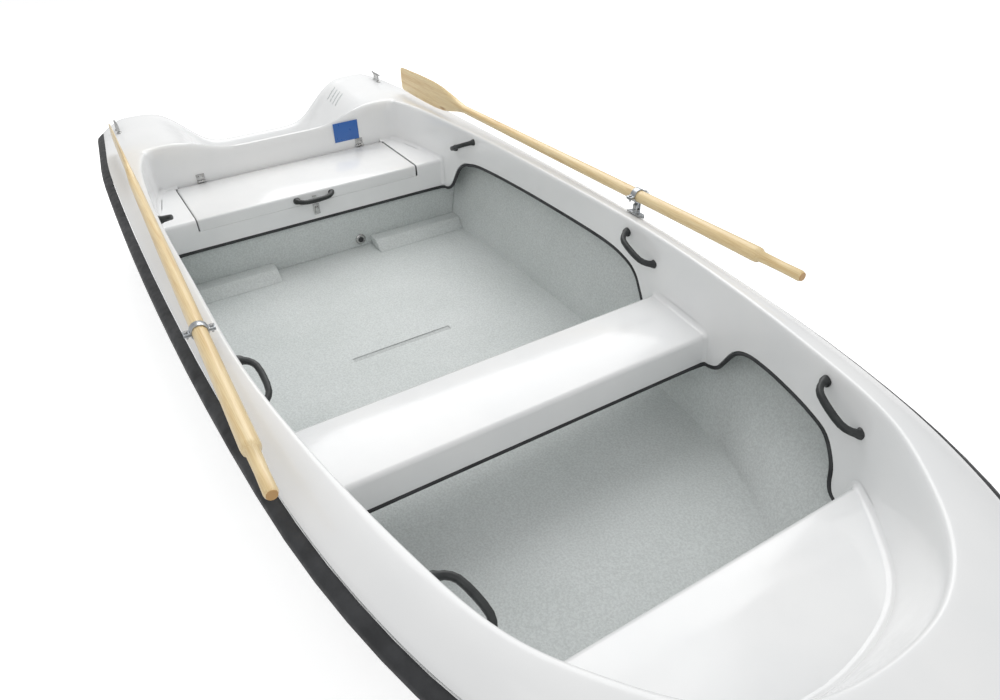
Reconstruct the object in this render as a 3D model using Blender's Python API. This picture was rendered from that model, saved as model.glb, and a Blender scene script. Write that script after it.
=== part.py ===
"""Rowing boat, about four metres long, with its oars stowed along the gunwales.

Metres. +X is the bow, +Y is port and +Z is up. The origin is on the ground under the middle
of the boat: the keel and the two bilge runners stand on the plane z = 0.
Port is built first and starboard is its mirror image. A "side" is +1 for port, -1 for starboard.
"""
import math
from collections import namedtuple

import bmesh
import bpy
from mathutils import Matrix, Vector

# Whole boat
LENGTH = 4.0                # transom to stem, without the fender
BEAM = 1.5                  # over the gunwale, without the fender
GUNWALE_HEIGHT = 0.532      # outer edge of the side deck amidships, above the keel
DECK_RISE = 0.033           # gunwale to the inner edge of the side deck
SEAT_HEIGHT = 0.365         # top of the three seats
COCKPIT_BEAM = 1.312        # between the coamings
MOTOR_WELL = 0.42           # transom to the wall behind the stern seat
FOREDECK = 0.44             # stem to the foremost point of the coaming

# Laminates and gaps
HULL_SKIN = 0.008
DECK_SKIN = 0.006
TRANSOM_THICKNESS = 0.03
RIM_DROP = 0.010            # gunwale to the top edge of the hull, behind the fender
GAP = 0.0005                # between pieces that touch
RUNNING_GAP = 0.0004        # round a pin
OVERRUN = 0.05              # how far a cutter passes the face that it cuts
LIP_RADIUS = 0.012          # rounded inner edge of the side deck
LIP_MIDDLE_SHARE = 0.3      # the arc's middle point, as a share of its radius

# Hull bottom
DEADRISE = 0.012
KEEL_WIDTH = 0.05
RUNNER_WIDTH = 0.05
RUNNER_SPACING = 0.84
KEEL_START_SHARE = 0.02     # shares of LENGTH from the transom
KEEL_END_SHARE = 0.76
RUNNER_START_SHARE = 0.03
RUNNER_END_SHARE = 0.64
KEEL_RAKE_SHARE = 1.25      # keel line's rake, as a share of the chine's
KEEL_SWEEP = 0.10           # how far the fore end of the keel and the runners slopes
GROOVE_WIDTH = 0.025
GROOVE_LENGTH = 0.40
GROOVE_DEPTH = 0.003
GROOVE_FROM_LOCKER = 0.80

# Motor well and quarter decks
WELL_SILL = 0.389           # top of the transom between the quarter decks
WELL_FLOOR = 0.315
WELL_LIP_DROP = 0.070       # coaming to the top of the wall between the well and the stern seat

# Seats
LOCKER_LENGTH = 0.385
LOCKER_DROP = 0.122         # height of the front of the stern seat
THWART_WIDTH = 0.277
THWART_DROP = 0.092
THWART_SHARE = 0.563        # aft edges of the seats, as shares of LENGTH from the transom
FORE_SEAT_SHARE = 0.79375
FORE_SEAT_DROP = 0.092
SEAT_EDGE_RADIUS = 0.014
SEAT_DRAFT = 0.006          # how far a seat's front leans at its foot
FORE_WALL_DROP = 0.03       # how far the wall goes down under the fore seat
BULKHEAD_THICKNESS = 0.010
STEP_HEIGHT = 0.040         # low steps at the foot of the bulkhead
STEP_TOP = 0.06
STEP_FOOT = 0.11
STEP_CHANNEL = 0.46         # the channel between them

# Locker lid and its fittings
LID_WIDTH = 0.978
LID_DEPTH = 0.049
LID_SKIN = 0.006
LID_EDGE_RADIUS = 0.008
LID_REAR_GAP = 0.009
LID_SIDE_GAP = 0.005
HINGE_SPACING = 0.752
HINGE_WIDTH = 0.036
HINGE_PLATE_HEIGHT = 0.032
HINGE_PLATE = 0.0025
HINGE_BARREL = 0.009
HINGE_KNUCKLE_SHARE = 0.36  # middle knuckle, as a share of the hinge's width
LATCH_WIDTH = 0.026
LATCH_HEIGHT = 0.052
LATCH_PLATE = 0.003
LATCH_LEVER = 0.010
CATCH_HEIGHT = 0.022
DRAIN_DIAMETER = 0.048
DRAIN_DEPTH = 0.008
DRAIN_BORE = 0.026
DRAIN_OFFSET = 0.18         # to port of the centre line
DRAIN_HEIGHT = 0.036        # above the floor
PLATE_WIDTH = 0.122
PLATE_HEIGHT_SHARE = 0.978  # of the wall from the hinge plates to the motor well's lip
PLATE_THICKNESS = 0.0012
PLATE_OFFSET = 0.32

# Fender and edge trim
FENDER_HEIGHT = 0.046
FENDER_THICKNESS = 0.033
FENDER_DROP = 0.032         # fender's middle below the gunwale
TRIM_DIAMETER = 0.014

# Grab handles and cleats
HANDLE_LENGTH = 0.17
HANDLE_STANDOFF = 0.040
HANDLE_GRIP = 0.0165
HANDLE_FOOT = 0.026
CLEAT_LENGTH = 0.096
CLEAT_HEIGHT = 0.030
CLEAT_BAR = 0.011
CLEAT_LEG = 0.012
CLEAT_LEG_SPACING = 0.034
CLEAT_ALONG_SHARE = 0.32    # of the motor well's length from the transom
CLEAT_ACROSS_SHARE = 0.52   # of the quarter deck's width from the fender

# Oars and oarlocks
OARLOCK_SPACING = 1.44
OARLOCK_AFT = 0.20          # aft of the middle thwart
OAR_RISE = 0.055            # axis of the stowed oar, above the coaming
OAR_LENGTH = 2.362
OAR_INBOARD = 0.669         # oarlock to the end of the handle
OAR_TOE = 2.0               # degrees, the blade nearer the centre line
LOOM_DIAMETER = 0.040
GRIP_DIAMETER = 0.031
GRIP_LENGTH = 0.145
BLADE_WIDTH = 0.120
BLADE_THICKNESS = 0.013
RING_THICKNESS = 0.004
RING_WIDTH = 0.022
RING_EAR = 0.016
RING_EAR_THICKNESS = 0.004
RING_SPLIT = 0.001
TONGUE_THICKNESS = 0.010
TONGUE_WIDTH = 0.016
PIVOT_DROP = 0.036          # oar's axis to the tilt pivot
PIVOT_BOLT = 0.006
BOLT_HEAD = 0.011
BOLT_HEAD_HEIGHT = 0.004
FORK_EAR = 0.004
FORK_EAR_WIDTH = 0.018
FORK_HUB = 0.026
FORK_HUB_HEIGHT = 0.005
FORK_STEM = 0.010
FORK_STEM_DEPTH = 0.010
PIVOT_OVER_HUB = 0.013
SOCKET_LENGTH = 0.060
SOCKET_WIDTH = 0.028
SOCKET_INSET = 0.003        # its plate's middle, inboard of the pin
SOCKET_BOSS = 0.026
SOCKET_BOSS_HEIGHT = 0.008
SOCKET_FLANGE = 0.005

# Bow eye, for the painter
BOW_EYE_ROD = 0.010
BOW_EYE_WIDTH = 0.045
BOW_EYE_REACH = 0.030
BOW_EYE_PLATE = 0.004

COAMING_HEIGHT = GUNWALE_HEIGHT + DECK_RISE
WELL_LIP = COAMING_HEIGHT - WELL_LIP_DROP
OAR_HEIGHT = COAMING_HEIGHT + OAR_RISE
STERN_X = -(LENGTH + FENDER_THICKNESS + GAP) / 2
RECESS_X = STERN_X + MOTOR_WELL
COCKPIT = LENGTH - MOTOR_WELL - FOREDECK
LOCKER_X = RECESS_X + LOCKER_LENGTH
THWART_X = STERN_X + THWART_SHARE * LENGTH
FORE_SEAT_X = STERN_X + FORE_SEAT_SHARE * LENGTH
OARLOCK_X = THWART_X - OARLOCK_AFT
WALL_BOTTOM = SEAT_HEIGHT - max(LOCKER_DROP, THWART_DROP, FORE_SEAT_DROP)
BLANK_TOP = COAMING_HEIGHT + OVERRUN
FACETS = 3                  # smooth stations between two rows of a table
ROUND_SIDES = 16

# Colour, roughness and metallic value of each material
MATERIALS = {
    "white_gelcoat": ((0.86, 0.87, 0.87), 0.22, 0.0),
    "grey_topcoat": ((0.62, 0.66, 0.65), 0.60, 0.0),
    "black_rubber": ((0.03, 0.03, 0.035), 0.65, 0.0),
    "black_plastic": ((0.025, 0.028, 0.028), 0.40, 0.0),
    "pine_wood": ((0.80, 0.62, 0.34), 0.35, 0.0),
    "galvanised_steel": ((0.62, 0.64, 0.65), 0.38, 1.0),
    "stainless_steel": ((0.72, 0.72, 0.71), 0.22, 1.0),
    "blue_plate": ((0.03, 0.16, 0.48), 0.40, 0.0),
}

# Motor well, from the transom to the wall behind the stern seat. Columns: place as a share of
# MOTOR_WELL, gunwale's half width as a share of BEAM / 2, gunwale's rise as a share of
# GUNWALE_HEIGHT, quarter deck's rise as a share of COAMING_HEIGHT.
WellRow = namedtuple("WellRow", "along_share half_share gunwale_share deck_share")
WELL_ROWS = (
    WellRow(0.000, 0.862, 1.015, 1.018),
    WellRow(0.030, 0.881, 1.015, 1.018),
    WellRow(0.095, 0.896, 1.016, 1.016),
    WellRow(0.125, 0.900, 1.017, 1.015),
    WellRow(0.500, 0.922, 1.020, 1.000),
    WellRow(0.880, 0.947, 1.012, 0.979),
    WellRow(0.930, 0.951, 1.010, 0.976),
    WellRow(1.000, 0.955, 1.009, 0.973),
)
# Level of the motor well's centre at each of those rows
WELL_LEVELS = (WELL_SILL, WELL_SILL, WELL_SILL, WELL_FLOOR, WELL_FLOOR, WELL_FLOOR, WELL_LIP, WELL_LIP)
# Columns across the motor well: half width as a share of the recess corner's, and how much of
# the well's depth is reached there.
WELL_COLUMNS_SHARES = (
    (1.0, 0.0), (0.82, 0.0), (0.73, 0.10), (0.64, 0.30), (0.54, 0.60), (0.40, 1.0), (0.18, 1.0),
)

# Stations of the cockpit and the bow. Columns: gunwale's place as a share of the length ahead
# of the recess, its half width and rise as in WELL_ROWS; coaming's place as a share of COCKPIT,
# its half width as a share of COCKPIT_BEAM / 2 and its rise as a share of COAMING_HEIGHT; the
# wall's place and half width at the seats' level; the upper chine's rake as a share of LENGTH,
# its half width as a share of the gunwale's and its rise as a share of GUNWALE_HEIGHT; the same
# for the lower chine.
Station = namedtuple("Station", (
    "gunwale_along_share gunwale_half_share gunwale_rise_share "
    "coaming_along_share coaming_half_share coaming_rise_share wall_along_share wall_half_share "
    "chine_rake_share chine_half_share chine_rise_share floor_rake_share floor_half_share floor_rise_share"))
STATIONS = (
    Station(0.0000, 0.955, 1.009, 0.0000, 0.854, 0.973, 0.0000, 0.835, 0, 0.965, 0.498, 0, 0.920, 0.075),
    Station(0.0531, 0.973, 1.002, 0.0605, 0.937, 0.970, 0.0605, 0.919, 0, 0.955, 0.498, 0, 0.905, 0.072),
    Station(0.1927, 0.993, 1.000, 0.2197, 0.991, 0.983, 0.2197, 0.983, 0, 0.946, 0.498, 0, 0.897, 0.070),
    Station(0.3464, 1.000, 1.000, 0.3949, 0.999, 0.998, 0.3949, 0.994, 0, 0.940, 0.498, 0, 0.893, 0.070),
    Station(0.5000, 0.987, 0.990, 0.5541, 1.000, 1.000, 0.5541, 0.994, 0, 0.946, 0.498, 0, 0.872, 0.070),
    Station(0.6397, 0.947, 0.968, 0.6815, 0.948, 1.000, 0.6815, 0.938, 0, 0.923, 0.498, 0, 0.817, 0.072),
    Station(0.7374, 0.873, 0.962, 0.7930, 0.864, 1.000, 0.7930, 0.843, 0.0025, 0.893, 0.498, 0.0075, 0.656, 0.085),
    Station(0.8073, 0.773, 0.968, 0.8758, 0.770, 1.000, 0.8710, 0.739, 0.005, 0.819, 0.526, 0.0125, 0.517, 0.122),
    Station(0.8687, 0.627, 0.981, 0.9300, 0.617, 1.000, 0.9204, 0.587, 0.0075, 0.745, 0.573, 0.02, 0.404, 0.169),
    Station(0.9246, 0.440, 0.992, 0.9710, 0.442, 1.000, 0.9522, 0.442, 0.010, 0.680, 0.630, 0.0275, 0.303, 0.244),
    Station(0.9749, 0.220, 1.002, 0.9940, 0.236, 1.000, 0.9697, 0.259, 0.0125, 0.600, 0.705, 0.035, 0.210, 0.367),
    Station(1.0000, 0.000, 1.006, 1.0000, 0.000, 1.000, 0.9777, 0.000, 0.015, 0.000, 0.761, 0.0425, 0.000, 0.460),
)
STERN_CHINE_SHARE = (0.975, 0.498)      # upper chine at the transom: half width and rise
STERN_FLOOR_SHARE = (0.945, 0.078)      # lower chine at the transom

# Across the side deck: share of its width from the fender, share of its rise
DECK_ACROSS_SHARES = ((0.0, 0.0), (0.05, 0.15), (0.12, 0.28), (0.52, 0.82), (0.78, 0.96))

# Edge of the aft opening in the side wall. Columns: place as a share of the floor's length
# between the locker and the thwart, height above or below the seats as a share of LOCKER_DROP.
AFT_EDGE_SHARES = (
    (0.012, -1.0), (0.030, -0.97), (0.055, -0.74), (0.087, -0.10), (0.120, 0.24), (0.155, 0.38),
    (0.220, 0.52), (0.400, 0.62), (0.585, 0.67), (0.800, 0.65), (0.890, 0.48), (0.930, 0.22),
    (0.953, -0.18), (0.968, -0.48), (0.983, -0.68), (1.000, -0.75),
)
# The same for the fore opening, between the thwart and the fore seat, in THWART_DROP.
FORE_EDGE_SHARES = (
    (0.015, -1.0), (0.055, -0.93), (0.105, -0.70), (0.180, 0.15), (0.270, 0.52), (0.400, 0.62),
    (0.560, 0.60), (0.690, 0.52), (0.795, 0.34), (0.870, -0.24), (0.893, -0.74), (0.915, -0.95),
    (0.950, -1.0),
)

# Sections of the oar. Columns: distance from the tip of the blade as a share of the length
# outboard of the oarlock, half width up and down as a share of BLADE_WIDTH, half thickness as a
# share of BLADE_THICKNESS for the blade.
BLADE_SHARES = (
    (0.000, 0.420, 0.34), (0.012, 0.455, 0.42), (0.110, 0.495, 0.50), (0.185, 0.500, 0.56),
    (0.235, 0.450, 0.68), (0.275, 0.340, 0.86), (0.310, 0.215, 1.04),
)
# The loom: the same distance, half width and half thickness as shares of LOOM_DIAMETER.
LOOM_SHARES = (
    (0.345, 0.400, 0.400), (0.450, 0.420, 0.420), (0.700, 0.470, 0.470), (0.900, 0.500, 0.500),
    (1.000, 0.500, 0.500),
)

# Grab handles on the walls: distance from the recess as a share of COCKPIT, height of the aft
# and fore foot above the seats as a share of the wall's height there.
WallHandle = namedtuple("WallHandle", "name along_share aft_rise_share fore_rise_share")
WALL_HANDLES = (
    WallHandle("stern", 0.184, 0.425, 0.782),
    WallHandle("mid", 0.555, 0.782, 0.493),
    WallHandle("fore", 0.841, 0.7905, 0.527),
)

SIDES = (("port", 1), ("starboard", -1))


def clear_scene():
    for item in list(bpy.data.objects):
        bpy.data.objects.remove(item, do_unlink=True)


def material(name):
    """The named material from the table."""
    found = bpy.data.materials.get(name)
    if found:
        return found
    colour, roughness, metallic = MATERIALS[name]
    made = bpy.data.materials.new(name)
    made.use_nodes = True
    shader = made.node_tree.nodes["Principled BSDF"]
    shader.inputs["Base Color"].default_value = (*colour, 1.0)
    shader.inputs["Roughness"].default_value = roughness
    shader.inputs["Metallic"].default_value = metallic
    return made


def make_object(name, mesh_data, material_name, place=None, smooth=None):
    """An object from a bmesh, set in place, with its material."""
    mesh = bpy.data.meshes.new(name)
    mesh_data.to_mesh(mesh)
    mesh_data.free()
    if material_name:
        mesh.materials.append(material(material_name))
    if smooth is not None:
        mesh.shade_smooth()
        mesh.set_sharp_from_angle(angle=math.radians(smooth))
    item = bpy.data.objects.new(name, mesh)
    bpy.context.scene.collection.objects.link(item)
    if place is not None:
        item.matrix_world = place
    return item


def cutter(name, mesh_data, place=None):
    """A hidden solid that a Boolean uses."""
    item = make_object(name, mesh_data, None, place)
    item.hide_render = True
    item.display_type = "WIRE"
    return item


def boolean(item, tool, operation):
    """A Boolean modifier with the EXACT solver."""
    step = item.modifiers.new(tool.name, "BOOLEAN")
    step.operation = operation
    step.solver = "EXACT"
    step.object = tool


def merge_close(mesh_data):
    """Joins the points that meet and drops the faces that vanish."""
    bmesh.ops.remove_doubles(mesh_data, verts=mesh_data.verts, dist=GAP / 10)
    bmesh.ops.dissolve_degenerate(mesh_data, edges=mesh_data.edges, dist=GAP / 10)


def add_grid(mesh_data, rows, closed_rows=False, closed_columns=False):
    """Quads between rows of points. Returns the rows of vertices."""
    made = [[mesh_data.verts.new(point) for point in row] for row in rows]
    row_pairs = list(zip(made, made[1:]))
    if closed_rows:
        row_pairs.append((made[-1], made[0]))
    for first, second in row_pairs:
        columns = list(range(len(first) - 1))
        if closed_columns:
            columns.append(len(first) - 1)
        for index in columns:
            after = (index + 1) % len(first)
            mesh_data.faces.new((first[index], first[after], second[after], second[index]))
    return made


def loft(rows, closed_rows=False):
    """A closed solid through rings of points, capped at both ends unless it runs round."""
    mesh_data = bmesh.new()
    made = add_grid(mesh_data, rows, closed_rows=closed_rows, closed_columns=True)
    if not closed_rows:
        mesh_data.faces.new(made[0])
        mesh_data.faces.new(list(reversed(made[-1])))
    merge_close(mesh_data)
    bmesh.ops.recalc_face_normals(mesh_data, faces=mesh_data.faces)
    return mesh_data


def prism(outline, low, high, axis="y"):
    """A flat outline of (first, second) coordinates, drawn out along an axis between two levels."""
    orders = {"x": (2, 0, 1), "y": (0, 2, 1)}[axis]
    rings = []
    for level in (low, high):
        rings.append([[(first, second, level)[place] for place in orders] for first, second in outline])
    return loft(rings)


def box(low, high, bevel=0.0, open_foot=False):
    """A box between two corners. A bevel rounds its edges, but not those of an open foot."""
    mesh_data = bmesh.new()
    bmesh.ops.create_cube(mesh_data, size=1)
    low, high = Vector(low), Vector(high)
    for vertex in mesh_data.verts:
        middle = (low + high) / 2
        vertex.co = middle + Vector(a * b for a, b in zip(vertex.co, high - low))
    if bevel:
        edges = [e for e in mesh_data.edges if not open_foot or max(v.co.z for v in e.verts) > low.z + bevel]
        bmesh.ops.bevel(mesh_data, geom=edges, offset=bevel, segments=2, profile=0.5, affect="EDGES")
    return mesh_data


def turned(profile, axis="z", sides=ROUND_SIDES):
    """A solid of revolution from (radius, level) pairs, with zero radius at both ends."""
    turns = {"z": (0, "Z"), "y": (-math.pi / 2, "X"), "x": (math.pi / 2, "Y")}
    angle, about = turns[axis]
    turn = Matrix.Rotation(angle, 4, about)
    rows = []
    for radius, level in profile:
        angles = (2 * math.pi * step / sides for step in range(sides))
        rows.append([turn @ Vector((radius * math.cos(a), radius * math.sin(a), level)) for a in angles])
    return loft(rows)


def moved(mesh_data, offset):
    bmesh.ops.translate(mesh_data, verts=mesh_data.verts, vec=offset)
    return mesh_data


def catmull(before, start, end, after, share):
    """A point on the smooth curve from start to end."""
    square, cube = share * share, share * share * share
    return tuple(
        (2 * b + (c - a) * share + (2 * a - 5 * b + 4 * c - d) * square + (3 * b - a - 3 * c + d) * cube) / 2
        for a, b, c, d in zip(before, start, end, after))


def smooth_rows(rows, steps):
    """The rows with smooth ones added between them."""
    padded = [rows[0], *rows, rows[-1]]
    result = []
    for index in range(1, len(padded) - 2):
        for step in range(steps):
            result.append(catmull(*padded[index - 1:index + 3], step / steps))
    result.append(rows[-1])
    return result


def interpolate(pairs, place):
    """The value at a place on a line through (place, value) pairs in rising order."""
    for (low, low_value), (high, high_value) in zip(pairs, pairs[1:]):
        if place <= high or high == pairs[-1][0]:
            return low_value + (high_value - low_value) * (place - low) / (high - low)
    return pairs[-1][1]


# One station on the port side, in metres. Each of its points is a Vector.
Section = namedtuple("Section", "gunwale coaming wall chine floor keel lip")


def well_section(row):
    """The section of the hull and the quarter deck at a row of the motor well."""
    x = STERN_X + row.along_share * MOTOR_WELL
    half = row.half_share * BEAM / 2
    first = STATIONS[0]
    chine_half = STERN_CHINE_SHARE[0] + row.along_share * (first.chine_half_share - STERN_CHINE_SHARE[0])
    floor_half = STERN_FLOOR_SHARE[0] + row.along_share * (first.floor_half_share - STERN_FLOOR_SHARE[0])
    floor_rise = STERN_FLOOR_SHARE[1] + row.along_share * (first.floor_rise_share - STERN_FLOOR_SHARE[1])
    floor_z = floor_rise * GUNWALE_HEIGHT
    inner = Vector((x, first.coaming_half_share * COCKPIT_BEAM / 2, row.deck_share * COAMING_HEIGHT))
    return Section(
        gunwale=Vector((x, half, row.gunwale_share * GUNWALE_HEIGHT)),
        coaming=inner,
        wall=inner,
        chine=Vector((x, half * chine_half, STERN_CHINE_SHARE[1] * GUNWALE_HEIGHT)),
        floor=Vector((x, half * floor_half, floor_z)),
        keel=Vector((x, 0, floor_z - DEADRISE)),
        lip=0.0,
    )


def cockpit_section(values, first):
    """The section at a smooth station of the cockpit or the bow."""
    row = Station(*values)
    x = RECESS_X + row.gunwale_along_share * (LENGTH - MOTOR_WELL)
    half = row.gunwale_half_share * BEAM / 2
    coaming_x = RECESS_X + row.coaming_along_share * COCKPIT
    wall_x = RECESS_X + row.wall_along_share * COCKPIT
    inner_half = COCKPIT_BEAM / 2
    chine_x = x - row.chine_rake_share * LENGTH
    floor_x = x - row.floor_rake_share * LENGTH
    floor_z = row.floor_rise_share * GUNWALE_HEIGHT
    keel_x = x - KEEL_RAKE_SHARE * row.floor_rake_share * LENGTH
    coaming_z = row.coaming_rise_share * COAMING_HEIGHT
    return Section(
        gunwale=Vector((x, half, row.gunwale_rise_share * GUNWALE_HEIGHT)),
        coaming=Vector((coaming_x, row.coaming_half_share * inner_half, coaming_z)),
        wall=Vector((wall_x, row.wall_half_share * inner_half, SEAT_HEIGHT)),
        chine=Vector((chine_x, half * row.chine_half_share, row.chine_rise_share * GUNWALE_HEIGHT)),
        floor=Vector((floor_x, half * row.floor_half_share, floor_z)),
        keel=Vector((keel_x, 0, floor_z - DEADRISE)),
        lip=0.0 if first else LIP_RADIUS,
    )


def flipped(values):
    """A station's values on the starboard side, for smoothing across the stem."""
    row = Station(*values)
    return tuple(row._replace(
        gunwale_half_share=-row.gunwale_half_share,
        coaming_half_share=-row.coaming_half_share,
        wall_half_share=-row.wall_half_share,
    ))


def port_sections():
    """All the sections of the port side from the transom to the stem."""
    both = [tuple(row) for row in STATIONS] + [flipped(STATIONS[-2])]
    smooth = smooth_rows(both, FACETS)[:(len(STATIONS) - 1) * FACETS + 1]
    aft = [well_section(row) for row in WELL_ROWS[:-1]]
    fore = [cockpit_section(values, index == 0) for index, values in enumerate(smooth)]
    return aft, fore


AFT_SECTIONS, FORE_SECTIONS = port_sections()
SECTIONS = AFT_SECTIONS + FORE_SECTIONS


def flip(point):
    """The point on the other side of the boat."""
    return Vector((point.x, -point.y, point.z))


def wall_point(section, z):
    """The cockpit wall's point at a level."""
    share = (section.coaming.z - z) / (section.coaming.z - section.wall.z)
    return section.coaming + (section.wall - section.coaming) * share


def wall_half(x, z):
    """The wall's half width at a place and level."""
    line = [wall_point(section, z) for section in FORE_SECTIONS]
    return interpolate([(point.x, point.y) for point in line], x)


def wall_across(x, z):
    """The wall's point on the port side."""
    return Vector((x, wall_half(x, z), z))


def hull_inner_half(x, z):
    """The inner half width of the hull at a place and level."""
    floor = interpolate([(s.floor.x, s.floor.y) for s in SECTIONS], x) - HULL_SKIN
    chine = interpolate([(s.chine.x, s.chine.y) for s in SECTIONS], x) - HULL_SKIN
    gunwale = interpolate([(s.gunwale.x, s.gunwale.y) for s in SECTIONS], x) - HULL_SKIN
    floor_z = floor_level(x)
    chine_z = interpolate([(s.chine.x, s.chine.z) for s in SECTIONS], x)
    gunwale_z = interpolate([(s.gunwale.x, s.gunwale.z) for s in SECTIONS], x)
    return interpolate([(floor_z, floor), (chine_z, chine), (gunwale_z, gunwale)], z)


def floor_level(x):
    """The top of the floor."""
    return interpolate([(s.floor.x, s.floor.z) for s in SECTIONS], x) + HULL_SKIN


def deck_across(section):
    """Points across the side deck, from the gunwale to the foot of its rounded lip."""
    outer, inner = section.gunwale, section.coaming
    width = (inner - outer).length
    shares = [*DECK_ACROSS_SHARES, (1 - section.lip / width, 1.0)]
    points = []
    for across, rise in shares:
        level = outer.z + rise * (inner.z - outer.z)
        flat = outer.lerp(inner, across)
        points.append(Vector((flat.x, flat.y, level)))
    middle = outer.lerp(inner, 1 - section.lip * LIP_MIDDLE_SHARE / width)
    points.append(Vector((middle.x, middle.y, inner.z - section.lip * LIP_MIDDLE_SHARE)))
    points.append(inner if section.lip == 0 else wall_point(section, inner.z - section.lip))
    return points


def deck_height(x, y):
    """The side deck's level at a place on its port side, aft of the bow."""
    columns = []
    for section in SECTIONS[:-2 * FACETS]:
        pairs = sorted((point.y, point.z) for point in deck_across(section)[:-2])
        columns.append((section.gunwale.x, interpolate(pairs, y)))
    return interpolate(columns, x)


def well_surface():
    """Rows across the motor well from port to starboard, each from the transom to the wall's foot."""
    corner = FORE_SECTIONS[0]
    feet = [wall_point(corner, level) for level in (SEAT_HEIGHT, WALL_BOTTOM)]
    port = []
    for half_share, depth_share in WELL_COLUMNS_SHARES:
        row = []
        for well_row, level in zip(WELL_ROWS, WELL_LEVELS):
            deck = well_row.deck_share * COAMING_HEIGHT
            x = STERN_X + well_row.along_share * MOTOR_WELL
            row.append(Vector((x, half_share * corner.coaming.y, deck + depth_share * (level - deck))))
        row += [Vector((foot.x, half_share * foot.y, foot.z)) for foot in feet]
        port.append(row)
    return port + [[flip(point) for point in row] for row in reversed(port)]


def deck_surface():
    """The open surface of the side decks, the foredeck, the quarter decks and the walls."""
    mesh_data = bmesh.new()
    for side in (1, -1):
        rows = [deck_across(section) for section in SECTIONS]
        walls = []
        for section in FORE_SECTIONS:
            feet = [wall_point(section, level) for level in (SEAT_HEIGHT, WALL_BOTTOM)]
            walls.append([deck_across(section)[-1], *feet])
        if side < 0:
            rows = [[flip(point) for point in row] for row in rows]
            walls = [[flip(point) for point in row] for row in walls]
        add_grid(mesh_data, rows)
        add_grid(mesh_data, walls)
    add_grid(mesh_data, well_surface())
    merge_close(mesh_data)
    bmesh.ops.recalc_face_normals(mesh_data, faces=mesh_data.faces)
    top = max(mesh_data.faces, key=lambda face: face.calc_center_median().z * abs(face.normal.z))
    if top.normal.z < 0:
        bmesh.ops.reverse_faces(mesh_data, faces=mesh_data.faces)
    return mesh_data


def solidify(item, thickness):
    """Thickness behind the surface that shows."""
    step = item.modifiers.new("laminate", "SOLIDIFY")
    step.thickness = thickness
    step.offset = -1
    step.use_even_offset = True


def edge_curve(shares, start, end, drop):
    """The smooth edge of an opening in the side wall, as (x, z) points."""
    points = [(start + along * (end - start), SEAT_HEIGHT + rise * drop) for along, rise in shares]
    return smooth_rows(points, FACETS)


def opening_edges():
    """The edges of the aft and fore openings in the side walls."""
    aft = edge_curve(AFT_EDGE_SHARES, LOCKER_X, THWART_X, LOCKER_DROP)
    fore = edge_curve(FORE_EDGE_SHARES, THWART_X + THWART_WIDTH, FORE_SEAT_X, THWART_DROP)
    return aft, fore


def build_deck():
    """The deck moulding, with the aft and fore openings cut in its walls."""
    deck = make_object("deck_moulding", deck_surface(), "white_gelcoat", smooth=35)
    solidify(deck, DECK_SKIN)
    aft, fore = opening_edges()
    outline = [
        *aft,
        (THWART_X, SEAT_HEIGHT - THWART_DROP),
        (THWART_X + THWART_WIDTH, SEAT_HEIGHT - THWART_DROP),
        *fore,
        (FORE_SEAT_X, SEAT_HEIGHT - FORE_SEAT_DROP),
        (FORE_SEAT_X + FORE_SEAT_DROP, SEAT_HEIGHT - FORE_WALL_DROP),
        (STERN_X + LENGTH, SEAT_HEIGHT - FORE_WALL_DROP),
        (STERN_X + LENGTH, WALL_BOTTOM - OVERRUN),
        (aft[0][0] - DECK_SKIN, WALL_BOTTOM - OVERRUN),
        (aft[0][0] - DECK_SKIN, WALL_BOTTOM - GAP),
    ]
    boolean(deck, cutter("cut_openings", prism(outline, -BEAM, BEAM)), "DIFFERENCE")


def hull_ring(section, inset, top):
    """A ring of points round the hull at a section, inset from its surface."""
    def inner(point, rise):
        return Vector((point.x, max(point.y - inset, 0), point.z + rise))

    gunwale = inner(section.gunwale, 0)
    crown = Vector((gunwale.x, gunwale.y, top))
    floor = inner(section.floor, inset)
    keel = Vector((section.keel.x, 0, floor.z if inset else section.keel.z))
    port = [crown, gunwale, inner(section.chine, 0), floor]
    return [*port, keel, *(flip(point) for point in reversed(port))]


def offset_line(points, distance):
    """A line of (first, second) points moved to its right by a distance, with mitred corners."""
    result = []
    for index, point in enumerate(points):
        before, after = points[max(index - 1, 0)], points[min(index + 1, len(points) - 1)]
        near = Vector(point) - Vector(before) if index else Vector(after) - Vector(point)
        far = Vector(after) - Vector(point) if index < len(points) - 1 else near
        near, far = near.normalized(), far.normalized()
        normals = Vector((near.y, -near.x)), Vector((far.y, -far.x))
        middle = (normals[0] + normals[1]).normalized()
        step = distance / middle.dot(normals[0])
        result.append((point[0] + middle.x * step, point[1] + middle.y * step))
    return result


def transom_outline():
    """The underside of the deck over the transom, closed above it, as (y, z) points."""
    side = [(point.y, point.z) for point in deck_across(SECTIONS[0])[:-3]]
    middle = [(row[0].y, row[0].z) for row in well_surface()]
    line = [*side, *middle, *((-y, z) for y, z in reversed(side))]
    under = offset_line(line, -DECK_SKIN - 2 * GAP)
    rim = (under[0][0] + OVERRUN, under[0][1])
    return [rim, *under, (-rim[0], rim[1]), (-BEAM, BLANK_TOP + OVERRUN), (BEAM, BLANK_TOP + OVERRUN)]


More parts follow.
